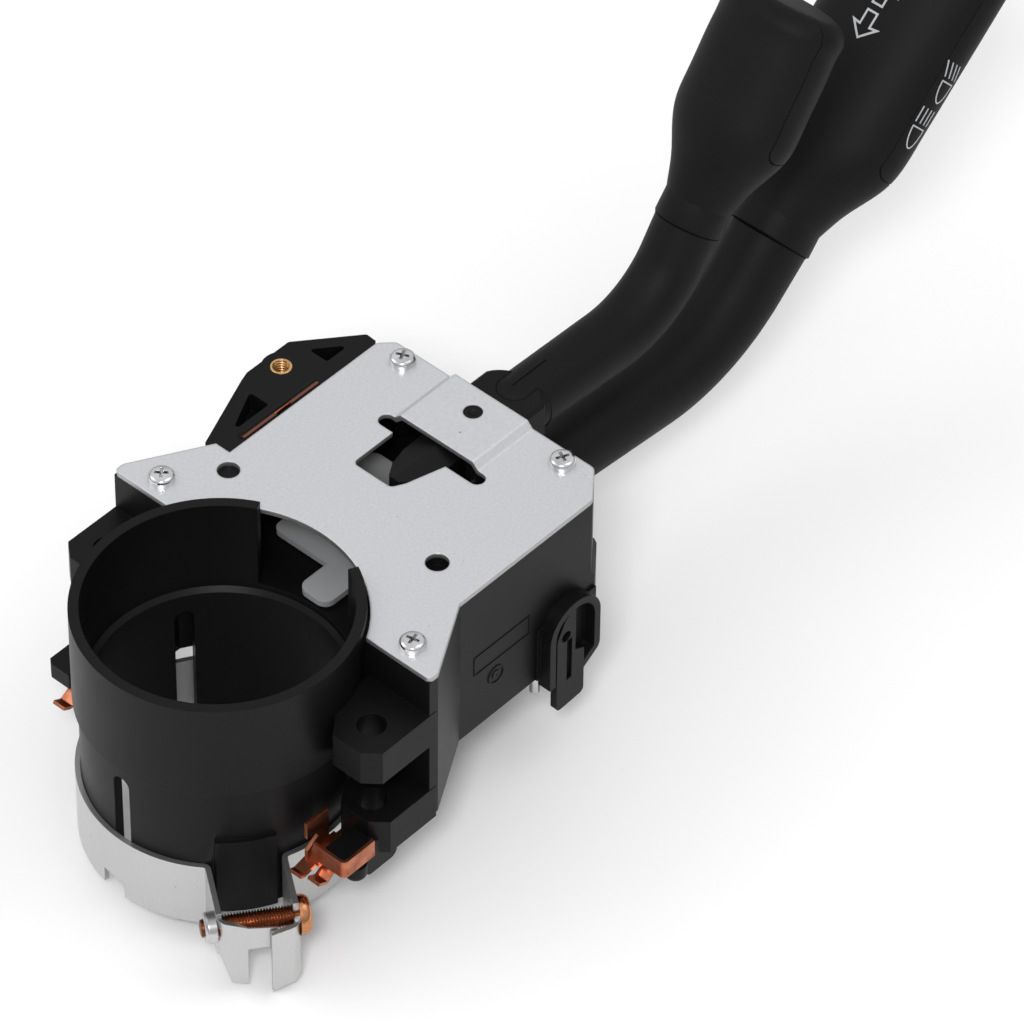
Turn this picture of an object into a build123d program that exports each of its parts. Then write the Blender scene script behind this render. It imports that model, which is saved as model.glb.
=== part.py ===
from build123d import *
import math
import os

# Combination stalk switch. Millimetres.
# The origin is on the collar's axis, level with the top face of the top plate.
# +Z runs along the collar towards the driver, +X from the collar to the stalks.

# Clearances
run_gap = 0.05
slip_gap = 0.15

# Collar and its column tube
bore_r = 27.5
hub_r = 28.7
collar_wall = 2.3
collar_r = hub_r + collar_wall
rim_z = 2.8
shoulder_z = -22.5
ledge_z = -21.0
collar_bottom_z = -58.0
low_wall = 2.3
band_r = bore_r + low_wall
window_half_angle = 27.0
window_sill_z = -19.5
column_slot_w = 4.4
column_slot_top_z = -26.5
column_slot_angles = (180.0, 60.0, -60.0)
tongue_top_z = -37.0

# Housing levels
sheet_t = 1.2
parting_z = -20.0
deck_top_z = -19.4
deck_t = 1.6
deck_bottom_z = deck_top_z - deck_t
housing_bottom_z = -41.6
cover_t = 2.0
cover_top_z = housing_bottom_z + cover_t
wall_t = 2.2

# Housing plan
ear_x = 15.6
ear_y = 45.2
ear_corner_x = 18.2
neck_x = 36.0
left_y = 31.0
right_y = 35.0
far_x = 84.8
far_chamfer_left = 3.0
far_chamfer_right = (7.3, 6.0)
lever_opening = 26.0
finger_channel = 47.0
low_step = 1.3
low_step_z = -21.2
low_step_slope = 2.2

# Lugs
lug_y = 38.0
lug_x = 5.8
lug_hole_r = 3.15
lug_out_y = 45.3
lug_left_x = -1.7
upper_lug_z = (-20.0, -10.9)
lower_lug_z = (-42.7, -33.5)
lower_lug_left_x = 0.5

# Top plate
collar_relief = 0.6
bridge_rise = 1.65
bridge_y = (-11.5, 12.5)
bridge_bend = 1.6
bridge_x = 67.5
slot_near_x = 51.4
slot_lobe_w = 3.7
slot_lobe_y = (-14.7, 15.0)
left_hole = (32.0, 27.5, 2.5)
right_hole = (41.6, -23.5, 2.6)

# Plate screws
screw_head_r = 2.95
screw_head_h = 1.9
screw_r = 1.45
screw_len = 9.0
ear_screw = (20.5, 36.0)
rear_screw = (81.3, 23.0)
rear_boss_r = 3.6

# Side bracket and contact board
board_t = 1.6
board_x = (43.0, 66.0)
board_z = (-38.0, -2.2)
bracket_top_z = -2.5
bracket_t = 9.0
bracket_out_y = 47.0
insert_x = 64.5
insert_y = 43.0
insert_r = 2.5
insert_bore_r = 1.65
insert_len = 7.0
pocket_depth = 5.0
left_pocket_x = (42.5, 54.0)
right_pocket_x = (72.2, 79.0)
pocket_y = (1.8, 7.4)

# Clamp band
band_t = 1.2
band_gap = 0.1
band_z = (-61.5, -44.3)
gap_angle = -126.5
ear_span = 15.0
ear_reach = 45.0
ear_bottom_z = -56.5
left_prong = (3.2, -65.2)
right_prong = (6.3, -67.0)
web_bottom_z = -54.5
flap_gap = 0.4
flap_w = 6.3
flap_reach = ear_reach + band_t + flap_gap
clamp_screw_r = 2.0
clamp_screw_edge = 2.5
clamp_screw_reach = ear_reach - clamp_screw_edge
clamp_screw_z = -48.7
bend_in = 0.6
bend_out = bend_in + band_t
clamp_head_r = 4.4
clamp_head_h = 2.6
boss_len = 2.5
boss_wall = 1.4

# Levers
lever_y = 0.3
pivot_x = 78.8
upper_axis_z = -6.8
lower_axis_z = -31.0
spindle_r = 2.1
root_half_h = 6.25
root_half_w = 8.3
root_near_x = 71.6
drum_x = 87.3
drum_r = 9.7
root_edge = 0.8
cheek_gap = 4.4
cheek_end_x = 83.6
block_half = (4.0, 4.1, 4.5)
tilt_pin_r = 1.9
arm_inset = 4.7
arm_start_x = drum_x + arm_inset
arm_r_upper = 7.0
neck_r_upper = 7.6
arm_r_lower = 7.9
neck_r_lower = 9.6
arm_lift = 0.4
nose_tip_x = 53.9
nose_tip_w = 1.4
nose_half_w = 5.4
nose_neck_w = 3.9
nose_top_z = -0.1
nose_edge_z = -1.6
nose_bottom_z = -5.0

# Upper lever: corner and seam of its centreline, bend radius, head rise in degrees, head length
upper_corner = (135.7, -8.5)
upper_seam = (148.2, 9.1)
upper_bend_r = 25.0
upper_head_rise = 53.5
upper_head_len = 54.0

# Lower lever
lower_corner = (154.9, -34.2)
lower_seam = (176.4, -13.6)
lower_bend_r = 42.0
lower_head_rise = 40.5
lower_head_len = 76.0

# Heads: where the flare starts and ends, half width, half depth, lift of the full section
flare_upper = (4.0, 26.0)
flare_lower = (3.0, 28.0)
head_half_w_upper = 14.9
head_half_d_upper = 11.0
head_half_w_lower = 19.0
head_half_d_lower = 12.6
head_lift_upper = 0.0
head_lift_lower = 0.1
section_step = 6.0
pad_start_upper = 21.4
pad_start_lower = 23.4
pad_line_upper = 4.6
pad_line_lower = 4.7
pad_corner_r = 3.0
pad_gap = 0.2
peg_r = 1.5
peg_len = 4.0
head_round = 4.5

# Detents
plunger_r = 1.5
plunger_y = -6.4
plunger_drop = 3.6
plunger_tip_x = 69.9
plunger_len = 5.6
plunger_nose = 1.25
detent_spring_len = 5.0
spring_wire_r = 0.25
track_gap = 0.4
detent_block_x = 64.5
detent_block_h = 4.6

# Cancel slide, whose finger shows in the collar's window
slide_top_z = -17.2
slide_t = 1.6
slide_boss_r = 4.0
slide_hub_r = 7.5
slide_boss_top_z = -14.6
slide_front_x = 38.2
slide_waist_x = 70.0
slide_half_w = 20.7
finger_tip_x = 28.9
finger_y = (-3.4, 5.0)
cancel_wire_r = 0.4

# Connector inlet under the housing
inlet_x = (47.5, 71.5)
inlet_y = (8.0, 26.0)
inlet_bottom_z = -54.0
inlet_wall = 1.8
terminal_rows = 2
terminal_columns = 5
terminal_w = 2.2
terminal_t = 0.8

# Cable guide on the right wall
arch_centre = (69.0, -30.2)
arch_r = 8.0
arch_t = 1.8
arch_low_z = -43.5
arch_turn_z = -40.4
arch_end = (71.2, -43.6)
guide_base_x = (60.0, 78.6)
guide_base_z = (-41.5, -26.4)
guide_base_t = 0.6
guide_out_y = -38.4
fin_t = 1.7
fin_low_z = -51.8
fin_x = (63.2, 69.0, 71.9)
fin_step_z = -38.0
guide_hole = (66.0, -30.4, 1.4)
guide_groove_x = (66.3, 67.9)

# Contacts beside the lower lugs
holder_x = (-8.3, 2.3)
holder_y = (37.0, 43.5)
holder_z = (-42.7, -38.5)
knob_x = -3.4
knob_y = 41.8
knob_r = 2.5
knob_low_z = -47.0
bump_x = (-2.0, 7.4)
bump_low_z = -47.4
copper_t = 0.8
tongue_y = (35.6, 38.9)
side_strip_z = (-41.4, -36.8)
blade_end_x = -3.0
blade_top_z = -32.2

# Locating pin
locating_pin_r = 1.25
locating_pin_x = 62.6
locating_pin_y = -32.8
locating_pin_z = (-48.8, -36.0)
locating_boss_r = 2.8


def span(x, y, z):
    """A box between two values on each axis."""
    size = (x[1] - x[0], y[1] - y[0], z[1] - z[0])
    centre = ((x[0] + x[1]) / 2, (y[0] + y[1]) / 2, (z[0] + z[1]) / 2)
    return Pos(*centre) * Box(*size)


def rod(radius, centre, low_z, high_z):
    """An upright cylinder between two heights."""
    return Pos(centre[0], centre[1], (low_z + high_z) / 2) * Cylinder(radius, high_z - low_z)


def slab(face, low_z, high_z):
    """A sketch in plan, extruded between two heights."""
    return Pos(0, 0, low_z) * extrude(face, high_z - low_z)


def rounded(points, radius):
    """A filled outline with every corner rounded."""
    face = make_face(Polyline(*points, close=True))
    return fillet(face.vertices(), radius)


def polygon(points):
    """A filled outline with sharp corners."""
    return make_face(Polyline(*points, close=True))


def save(name, shape):
    """Write one node."""
    export_step(shape, f"parts/{name}.step")


def ear_outline():
    """Plan of the deck over the ears, from the collar to the neck."""
    return polygon([
        (ear_x, -ear_y), (ear_corner_x, -ear_y), (neck_x, -right_y),
        (neck_x, right_y), (ear_corner_x, ear_y), (ear_x, ear_y),
    ])


def rear_outline():
    """Plan of the housing behind the neck, with its far corners cut off."""
    cut_x, cut_y = far_chamfer_right
    return polygon([
        (neck_x, -right_y), (far_x - cut_x, -right_y), (far_x, -right_y + cut_y),
        (far_x, left_y - far_chamfer_left), (far_x - far_chamfer_left, left_y), (neck_x, left_y),
    ])


def rear_cavity():
    """Plan of the space inside the housing's walls."""
    return polygon([
        (neck_x + wall_t, -right_y + wall_t), (far_x - far_chamfer_right[0] - wall_t, -right_y + wall_t),
        (far_x - wall_t, -right_y + far_chamfer_right[1] + wall_t), (far_x - wall_t, left_y - wall_t),
        (neck_x + wall_t, left_y - wall_t),
    ])


def collar_tube():
    """Stepped tube with its window, column slots and the tongue between the clamp's ears."""
    low_r = band_r
    profile = polygon([
        (hub_r, rim_z), (collar_r, rim_z), (collar_r, shoulder_z), (low_r, shoulder_z - 1.0),
        (low_r, collar_bottom_z), (bore_r, collar_bottom_z), (bore_r, ledge_z - 1.0), (hub_r, ledge_z),
    ])
    tube = revolve(Plane.XZ * profile, Axis.Z)
    half = math.radians(window_half_angle)
    reach = collar_r * 1.6
    wedge = polygon([(0, 0), (reach * math.cos(half), -reach * math.sin(half)),
                     (reach * math.cos(half), reach * math.sin(half))])
    tube -= slab(wedge, window_sill_z, rim_z + 1)
    for angle in column_slot_angles:
        depth = collar_r - bore_r + 4
        slot = span((bore_r - 2, bore_r - 2 + depth), (-column_slot_w / 2, column_slot_w / 2),
                    (collar_bottom_z - 1, column_slot_top_z - column_slot_w / 2))
        cap = Pos(bore_r - 2 + depth / 2, 0, column_slot_top_z - column_slot_w / 2)
        cap = cap * Rot(0, 90, 0) * Cylinder(column_slot_w / 2, depth)
        tube -= Rot(0, 0, angle) * (slot + cap)
    return tube


def clamp_tongue():
    """Raised tongue of the collar that fills the gap between the clamp's ears."""
    width = ear_span - 2.0
    block = span((bore_r + 0.5, band_r + band_t), (-width / 2, width / 2), (collar_bottom_z, tongue_top_z))
    ring = rod(band_r + 1.1, (0, 0), collar_bottom_z, tongue_top_z)
    return Rot(0, 0, gap_angle) * (block & ring)


def lug(side, left_x, levels, root_x):
    """One lug with its screw hole, reaching from the ear column round the collar."""
    near_y = side * (collar_r - 3.0)
    far_y = side * lug_out_y
    plan = polygon([
        (left_x, side * 34.0), (left_x, side * (lug_out_y - 3.5)), (left_x + 3.0, far_y),
        (root_x, far_y), (root_x, near_y), (left_x + 8.0, near_y),
    ])
    body = slab(plan, *levels)
    return body - rod(lug_hole_r, (lug_x, side * lug_y), levels[0] - 1, levels[1] + 1)


def collar_frame():
    """Collar with the ear columns and the upper lugs, in one moulding."""
    deck = slab(ear_outline(), parting_z, -sheet_t)
    for side in (-1, 1):
        deck += lug(side, lug_left_x, upper_lug_z, ear_x + 2)
        hole = rod(screw_r + run_gap, (ear_screw[0], side * ear_screw[1]), -screw_len - 1.0, 0)
        deck -= hole
    channel = finger_channel / 2
    deck -= span((0, neck_x + 1), (-channel, channel), (window_sill_z, 0))
    deck -= rod(hub_r + 0.5, (0, 0), parting_z - 3, 1)
    return collar_tube() + deck + clamp_tongue()


def screw_places():
    """The four plate screws, as x, y."""
    return [(ear_screw[0], -ear_screw[1]), ear_screw, (rear_screw[0], -rear_screw[1]), rear_screw]


def switch_housing():
    """Rear housing: two lever bays with a deck between them, and the lower ear columns and lugs."""
    body = slab(rear_outline(), housing_bottom_z, -sheet_t)
    far_half = slab(rear_outline(), housing_bottom_z, low_step_z)
    far_half &= span((far_x - 2 * far_chamfer_right[0], far_x), (-ear_y, ear_y),
                     (housing_bottom_z, low_step_z))
    rim = far_half.faces().sort_by(Axis.Z)[-1].edges()
    rim = rim.filter_by_position(Axis.X, far_x - far_chamfer_right[0], far_x)
    body += Pos(low_step, 0, 0) * chamfer(rim, low_step_slope, low_step)
    cavity = rear_cavity()
    body -= slab(cavity, deck_top_z, 0)
    body -= slab(cavity, cover_top_z - cover_t - 1, deck_bottom_z)
    for side in (-1, 1):
        post = rod(rear_boss_r, (rear_screw[0] - 0.6, side * rear_screw[1]), cover_top_z, -sheet_t)
        post &= slab(rear_outline(), cover_top_z, -sheet_t)
        body += post
        body -= rod(screw_r + run_gap, (rear_screw[0], side * rear_screw[1]), -screw_len - 1.0, 0)
        for place in cover_screw_places():
            body += rod(rear_boss_r, place, cover_top_z, deck_bottom_z) if side > 0 else Part()
    opening = (lever_y - lever_opening / 2, lever_y + lever_opening / 2)
    body -= span((far_x - wall_t - 1, far_x + low_step + 1), opening, (deck_top_z, 0))
    body -= span((far_x - wall_t - 1, far_x + low_step + 1), opening, (cover_top_z, deck_bottom_z))
    body += rod(slide_boss_r, (pivot_x, lever_y), deck_top_z, slide_boss_top_z)
    body += rod(slide_boss_r + 1.2, (pivot_x, lever_y), deck_top_z, slide_top_z - slide_t)
    locator = (locating_pin_x, locating_pin_y)
    body += rod(locating_boss_r, locator, housing_bottom_z, locating_pin_z[1] + 1.5) & slab(
        rear_outline(), housing_bottom_z, 0)
    body -= rod(locating_pin_r, locator, *locating_pin_z)
    channel = finger_channel / 2
    body -= span((neck_x - 1, neck_x + wall_t + 1), (-channel, channel), (window_sill_z, 0))
    body -= rod(spindle_r + run_gap, (pivot_x, lever_y), deck_bottom_z - 1, slide_boss_top_z + 1)
    lower = slab(ear_outline(), housing_bottom_z, parting_z)
    lower -= span((neck_x - 16, neck_x - 3), (-26, 26), (housing_bottom_z - 1, deck_bottom_z - 2))
    lower -= rod(collar_r + 0.4, (0, 0), housing_bottom_z - 2, parting_z + 1)
    for side in (-1, 1):
        part = lug(side, lower_lug_left_x, lower_lug_z, ear_x + 2)
        part += contact_holder(side)
        part -= rod(lug_hole_r, (lug_x, side * lug_y), lower_lug_z[0] - 3, lower_lug_z[1] + 1)
        part -= rod(collar_r + 0.4, (0, 0), lower_lug_z[0] - 1, lower_lug_z[1] + 1)
        lower += part
    return body + lower


def contact_holder(side):
    """Ledge beside a lower lug that holds its contacts."""
    near, far = holder_y
    plan = polygon([(holder_x[0], side * near), (holder_x[0], side * (far - 1.2)),
                    (holder_x[0] + 1.0, side * far), (holder_x[1], side * far), (holder_x[1], side * near)])
    ledge = slab(plan, *holder_z)
    knob = rod(knob_r, (knob_x, side * knob_y), knob_low_z, holder_z[0])
    knob = fillet(knob.edges().sort_by(Axis.Z)[0], knob_r * 0.7)
    bump = span(bump_x, sorted((side * (far - 4.4), side * far)), (bump_low_z, holder_z[0]))
    bump = fillet(bump.edges().filter_by(Axis.Y).group_by(Axis.Z)[0], 1.8)
    return ledge + knob + bump


def cover_screw_places():
    """Bosses inside the housing for the bottom cover's screws."""
    return [(42.6, -28.4), (42.6, 24.4), (60.0, -28.4)]


def bottom_cover():
    """Plate that closes the lower lever bay and carries the connector inlet."""
    inside = offset(rear_cavity(), -slip_gap)
    plate = slab(inside, housing_bottom_z, cover_top_z)
    plate -= rod(spindle_r + run_gap, (pivot_x, lever_y), housing_bottom_z - 1, cover_top_z + 1)
    for place in cover_screw_places():
        plate -= rod(screw_r + run_gap, place, housing_bottom_z - 1, cover_top_z + 1)
    plate -= rod(locating_boss_r + slip_gap, (locating_pin_x, locating_pin_y), housing_bottom_z - 1,
                 cover_top_z + 1)
    for row in terminal_places():
        plate -= span((row[0] - terminal_w / 2 - run_gap, row[0] + terminal_w / 2 + run_gap),
                      (row[1] - terminal_t / 2 - run_gap, row[1] + terminal_t / 2 + run_gap),
                      (housing_bottom_z - 1, cover_top_z + 1))
    return plate


def terminal_places():
    """Rows and columns of the connector's blades, as x, y."""
    places = []
    inside_x = inlet_x[1] - inlet_x[0] - 2 * inlet_wall
    inside_y = inlet_y[1] - inlet_y[0] - 2 * inlet_wall
    for row in range(terminal_rows):
        for column in range(terminal_columns):
            x = inlet_x[0] + inlet_wall + (column + 0.5) * inside_x / terminal_columns
            y = inlet_y[0] + inlet_wall + (row + 0.5) * inside_y / terminal_rows
            places.append((x, y))
    return places


def connector_inlet():
    """Open shroud round the blades, with a latch rib on one side."""
    outer = span(inlet_x, inlet_y, (inlet_bottom_z, housing_bottom_z))
    outer = fillet(outer.edges().filter_by(Axis.Z), 1.5)
    inner = span((inlet_x[0] + inlet_wall, inlet_x[1] - inlet_wall),
                 (inlet_y[0] + inlet_wall, inlet_y[1] - inlet_wall),
                 (inlet_bottom_z - 1, housing_bottom_z + 1))
    middle = (inlet_x[0] + inlet_x[1]) / 2
    rib = span((middle - 3, middle + 3), (inlet_y[1] - 0.5, inlet_y[1] + 1.4),
               (inlet_bottom_z + 3, inlet_bottom_z + 6))
    return outer + rib - inner


def terminals():
    """Flat blades with pointed tips."""
    blades = []
    for x, y in terminal_places():
        blade = span((x - terminal_w / 2, x + terminal_w / 2), (y - terminal_t / 2, y + terminal_t / 2),
                     (inlet_bottom_z + 3, cover_top_z + 2))
        tip = blade.faces().sort_by(Axis.Z)[0].edges().filter_by(Axis.Y)
        blades.append(chamfer(tip, 0.6))
    return Compound(children=blades)


def cross_screw(head_r, head_h, shank_r, shank_len):
    """Domed screw with a cross recess, its head's underside at height 0."""
    head = Pos(0, 0, head_h / 2) * Cylinder(head_r, head_h)
    head = fillet(head.edges().sort_by(Axis.Z)[-1], head_h * 0.55)
    shank = Pos(0, 0, -shank_len / 2) * Cylinder(shank_r, shank_len)
    shank = chamfer(shank.edges().sort_by(Axis.Z)[0], shank_r * 0.4)
    arm = Box(head_r * 1.15, head_r * 0.3, head_h)
    recess = Pos(0, 0, head_h) * (arm + Rot(0, 0, 90) * arm)
    return head + shank - recess


def plate_screws():
    """The four screws of the top plate."""
    return Compound(children=[Pos(x, y, 0) * cross_screw(screw_head_r, screw_head_h, screw_r, screw_len)
                              for x, y in screw_places()])


def cover_screws():
    """The three screws of the bottom cover, heads down."""
    return Compound(children=[Pos(x, y, housing_bottom_z) * Rot(180, 0, 0)
                              * cross_screw(screw_head_r, screw_head_h, screw_r, cover_t)
                              for x, y in cover_screw_places()])


def plate_slot():
    """Cut-out of the plate in front of the bridge."""
    lobe_r = slot_lobe_w / 2
    lobes = span((bridge_x - slot_lobe_w, bridge_x), (slot_lobe_y[0] + lobe_r, slot_lobe_y[1] - lobe_r),
                 (-sheet_t - 1, 1))
    for y in (slot_lobe_y[0] + lobe_r, slot_lobe_y[1] - lobe_r):
        lobes += rod(lobe_r, (bridge_x - lobe_r, y), -sheet_t - 1, 1)
    main = rounded([(slot_near_x, -1.2), (slot_near_x + 3.0, -2.8), (bridge_x - 2.0, -6.0),
                    (bridge_x - 2.0, 9.7), (slot_near_x, 9.7)], 1.4)
    return lobes + slab(main, -sheet_t - 1, 1)


def top_plate():
    """Stamped plate with the raised bridge over the upper lever."""
    flat = slab(ear_outline() + rear_outline(), -sheet_t, 0)
    corners = flat.edges().filter_by(Axis.Z).filter_by_position(Axis.X, neck_x + 1, far_x + 1)
    flat = fillet(corners, 1.8)
    ears = flat.edges().filter_by(Axis.Z).filter_by_position(Axis.X, ear_x - 1, ear_corner_x + 1)
    flat = fillet(ears, 1.1)
    flat -= rod(collar_r + collar_relief, (0, 0), -sheet_t - 1, 1)
    flat -= span((bridge_x - 0.01, far_x + 1), bridge_y, (-sheet_t - 1, 1))
    low, high = bridge_y
    thin = sheet_t * 0.42
    section = polygon([
        (low, 0), (low + bridge_bend, bridge_rise), (high - bridge_bend, bridge_rise), (high, 0),
        (high, -sheet_t), (high - thin, -sheet_t), (high - bridge_bend - thin, bridge_rise - sheet_t),
        (low + bridge_bend + thin, bridge_rise - sheet_t), (low + thin, -sheet_t), (low, -sheet_t),
    ])
    bridge = Pos(bridge_x, 0, 0) * extrude(Plane.YZ * section, far_x - bridge_x)
    plate = flat + bridge
    plate -= plate_slot()
    plate -= rod(left_hole[2], left_hole[:2], -sheet_t - 1, 1)
    plate -= rod(right_hole[2], right_hole[:2], -sheet_t - 1, 1)
    plate -= rod(spindle_r + run_gap, (pivot_x, lever_y), -1, bridge_rise + 1)
    for place in screw_places():
        plate -= rod(screw_r + slip_gap, place, -sheet_t - 1, 1)
    return plate


def contact_board():
    """Upright board beside the housing, notched along its top edge."""
    base_y = left_y + 2.3
    board = span(board_x, (base_y, base_y + board_t), board_z)
    board -= span((53.0, 57.5), (base_y - 1, base_y + board_t + 1), (board_z[1] - 1.6, board_z[1] + 1))
    return board


def side_bracket():
    """Moulded bracket on the left side with open pockets and the insert's boss."""
    base_y = left_y + 2.3 + board_t
    top = bracket_top_z
    plan = polygon([
        (neck_x, left_y), (far_x - 4.0, left_y), (far_x - 0.8, left_y + 2.4), (far_x - 0.6, left_y + 5.2),
        (71.0, bracket_out_y), (58.0, bracket_out_y), (55.5, bracket_out_y - 0.8), (neck_x, left_y + 7.5),
    ])
    body = slab(plan, top - bracket_t, top)
    outer = body.edges().filter_by(Axis.Z).filter_by_position(Axis.Y, left_y + 5, bracket_out_y + 1)
    body = fillet(outer, 1.0)
    body -= span((board_x[0] - slip_gap, board_x[1] + slip_gap),
                 (left_y + 2.3 - slip_gap, base_y + slip_gap), (top - bracket_t - 1, top + 1))
    near_y = base_y + pocket_y[0]
    out_y = base_y + pocket_y[1]
    left_start, left_end = left_pocket_x
    right_start, right_end = right_pocket_x
    left_pocket = rounded([(left_start, near_y), (left_end, near_y), (left_end, out_y)], 0.6)
    right_pocket = rounded([(right_start, near_y), (right_end, near_y), (right_start, out_y)], 0.6)
    for pocket in (left_pocket, right_pocket):
        body -= slab(pocket, top - pocket_depth, top + 1)
    body += rod(insert_r + 2.2, (insert_x, insert_y - 0.3), top - bracket_t - 3.0, top)
    body -= rod(insert_r, (insert_x, insert_y), top - insert_len, top + 1)
    return body


def threaded_insert():
    """Brass insert, flush with its boss."""
    sleeve = rod(insert_r, (insert_x, insert_y), bracket_top_z - insert_len, bracket_top_z)
    sleeve -= rod(insert_bore_r, (insert_x, insert_y), bracket_top_z - insert_len - 1, bracket_top_z + 1)
    return chamfer(sleeve.edges().filter_by(GeomType.CIRCLE).sort_by(Axis.Z)[-2:], 0.3)


def band_plan():
    """Plan of the split ring with its two ears and the flaps bent over their ends."""
    inner = band_r + band_gap
    outer = inner + band_t
    half = ear_span / 2
    side_y = half + band_t
    plan = Circle(outer) - Circle(inner)
    plan -= Pos(ear_reach / 2, 0) * Rectangle(ear_reach, 2 * half)
    root_x = math.sqrt(inner ** 2 - half ** 2)
    for side, reach in ((-1, ear_reach), (1, flap_reach)):
        plan += Pos((root_x + reach) / 2, side * (half + side_y) / 2) * Rectangle(reach - root_x, band_t)
        plan += Pos(reach - band_t / 2, side * (side_y - flap_w / 2)) * Rectangle(band_t, flap_w)
    crease_x = math.sqrt(outer ** 2 - side_y ** 2)
    sharp = [((crease_x, side_y), bend_in), ((crease_x, -side_y), bend_in), ((root_x, half), bend_out),
             ((root_x, -half), bend_out), ((ear_reach, -side_y), bend_out), ((flap_reach, side_y), bend_out),
             ((ear_reach - band_t, -half), bend_in), ((flap_reach - band_t, half), bend_in)]
    for (x, y), radius in sharp:
        corner = plan.vertices().sort_by_distance((x, y, 0))[0]
        plan = fillet(corner, radius)
    return plan


def clamp_band():
    """Split ring with two ears, in the ring's own frame turned to the gap afterwards."""
    inner = band_r + band_gap
    low, high = band_z
    half = ear_span / 2
    side_y = half + band_t
    flap_y = side_y - flap_w
    reach = inner + band_t
    crease_x = math.sqrt(reach ** 2 - side_y ** 2) + bend_out
    left_w, left_tip = left_prong
    right_w, right_tip = right_prong
    ring_zone = span((-reach - 1, crease_x), (-reach - 1, reach + 1), (low, high))
    ear_zone = span((crease_x, ear_reach - bend_out), (-side_y - 1, side_y + 1), (ear_bottom_z, high))
    ear_zone += span((crease_x, flap_reach - bend_out), (0, side_y + 1), (ear_bottom_z, high - 3.0))
    left_flap = polygon([(-side_y, high - 0.7), (-flap_y, high - 3.6), (-flap_y, left_tip),
                         (-side_y + left_w - 0.4, left_tip + 1.2), (-side_y, ear_bottom_z + 3)])
    right_flap = polygon([(side_y, high - 3.2), (flap_y, high - 5.2), (flap_y, right_tip),
                          (side_y - right_w + 4.7, right_tip + 2.2), (side_y, right_tip + 4.0)])
    flap_zone = Pos(ear_reach - bend_out, 0, 0) * extrude(Plane.YZ * left_flap, bend_out)
    flap_zone += Pos(flap_reach - bend_out, 0, 0) * extrude(Plane.YZ * right_flap, bend_out)
    band = slab(band_plan(), min(left_tip, right_tip), high) & (ring_zone + ear_zone + flap_zone)
    web = polygon([(-flap_y - 1, high - 3.6), (flap_y + 1.5, high - 4.6), (flap_y + 1.5, web_bottom_z - 3),
                   (flap_y - 0.6, web_bottom_z), (-flap_y - 1, web_bottom_z)])
    band += Pos(ear_reach - band_t, 0, 0) * extrude(Plane.YZ * web, band_t)
    band -= Rot(0, 0, 176.0 - gap_angle) * span((inner - 2, reach + 2), (-3.2, 3.2), (low - 1, low + 4.2))
    boss = Cylinder(clamp_screw_r + boss_wall, boss_len)
    boss = Pos(clamp_screw_reach, -side_y - boss_len / 2, clamp_screw_z) * Rot(90, 0, 0) * boss
    band += fillet(boss.edges().sort_by(Axis.Y)[0], 0.9)
    hole = Pos(clamp_screw_reach, 0, clamp_screw_z) * Rot(90, 0, 0) * Cylinder(clamp_screw_r + run_gap, 40)
    return Rot(0, 0, gap_angle) * (band - hole)


def clamp_screw():
    """Screw across the ears, its head on the +Y side of the ring's own frame."""
    seat = ear_span / 2 + band_t
    head = Pos(0, 0, clamp_head_h / 2) * Cylinder(clamp_head_r, clamp_head_h)
    head = fillet(head.edges().sort_by(Axis.Z)[-1], 1.5)
    length = 2 * seat + boss_len + 1.0
    shank = Pos(0, 0, -length / 2) * Cylinder(clamp_screw_r, length)
    shank = chamfer(shank.edges().sort_by(Axis.Z)[0], 0.5)
    arm = Box(5.0, 1.1, 2.4)
    recess = Pos(0, 0, clamp_head_h) * (arm + Rot(0, 0, 90) * arm)
    screw = head + shank - recess
    return Rot(0, 0, gap_angle) * Pos(clamp_screw_reach, seat, clamp_screw_z) * Rot(-90, 0, 0) * screw


def bent_strip(points, y, thickness, bend):
    """A strip of sheet bent along a path in X and Z, between two values of Y."""
    path = FilletPolyline(*points, radius=bend)
    sheet = trace(path, line_width=thickness)
    return Pos(0, y[1], 0) * extrude(Plane.XZ * sheet, y[1] - y[0])


def contact_tongue(side):
    """Springy tongue under the ledge, pointing away from the levers."""
    top = holder_z[0] - copper_t / 2
    ys = sorted((side * tongue_y[0], side * tongue_y[1]))
    points = [(holder_x[1], top), (-3.6, top), (-9.2, top - 3.6), (-11.4, top - 2.4)]
    return bent_strip(points, ys, copper_t, 0.9)


def contact_spring_right():
    """Copper contact on the right: tongue, side strip round the ledge, and an upright blade."""
    outside = -holder_y[1] - copper_t / 2
    low = holder_z[0] - copper_t / 2
    left = holder_x[0] - 0.8
    path = FilletPolyline((-0.2, outside), (left, outside), (left, -holder_y[0] + 1.6), radius=1.0)
    strip = slab(trace(path, line_width=copper_t), *side_strip_z)
    end = bent_strip([(left, -38.0), (left, low), (-3.6, low)], (-36.8, -35.0), copper_t, 0.5)
    blade = span((left - 0.5, blade_end_x), (-33.9, -33.1), (holder_z[0] - copper_t, blade_top_z))
    blade -= Pos(-9.6, -33.5, -38.4) * Rot(0, -35, 0) * Box(6, 3, 3)
    tip = bent_strip([(0.0, low), (-6.0, low), (-12.2, low - 1.4), (-13.4, low - 0.9)], (-35.6, -32.4),
                     copper_t, 0.5)
    base = span((-4.2, holder_x[1]), (-tongue_y[1], -33.1), (holder_z[0] - copper_t, holder_z[0]))
    return contact_tongue(-1) + strip + end + base + blade + tip


def contact_spring_left():
    """Copper contact on the left: one tongue."""
    return contact_tongue(1)


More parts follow.
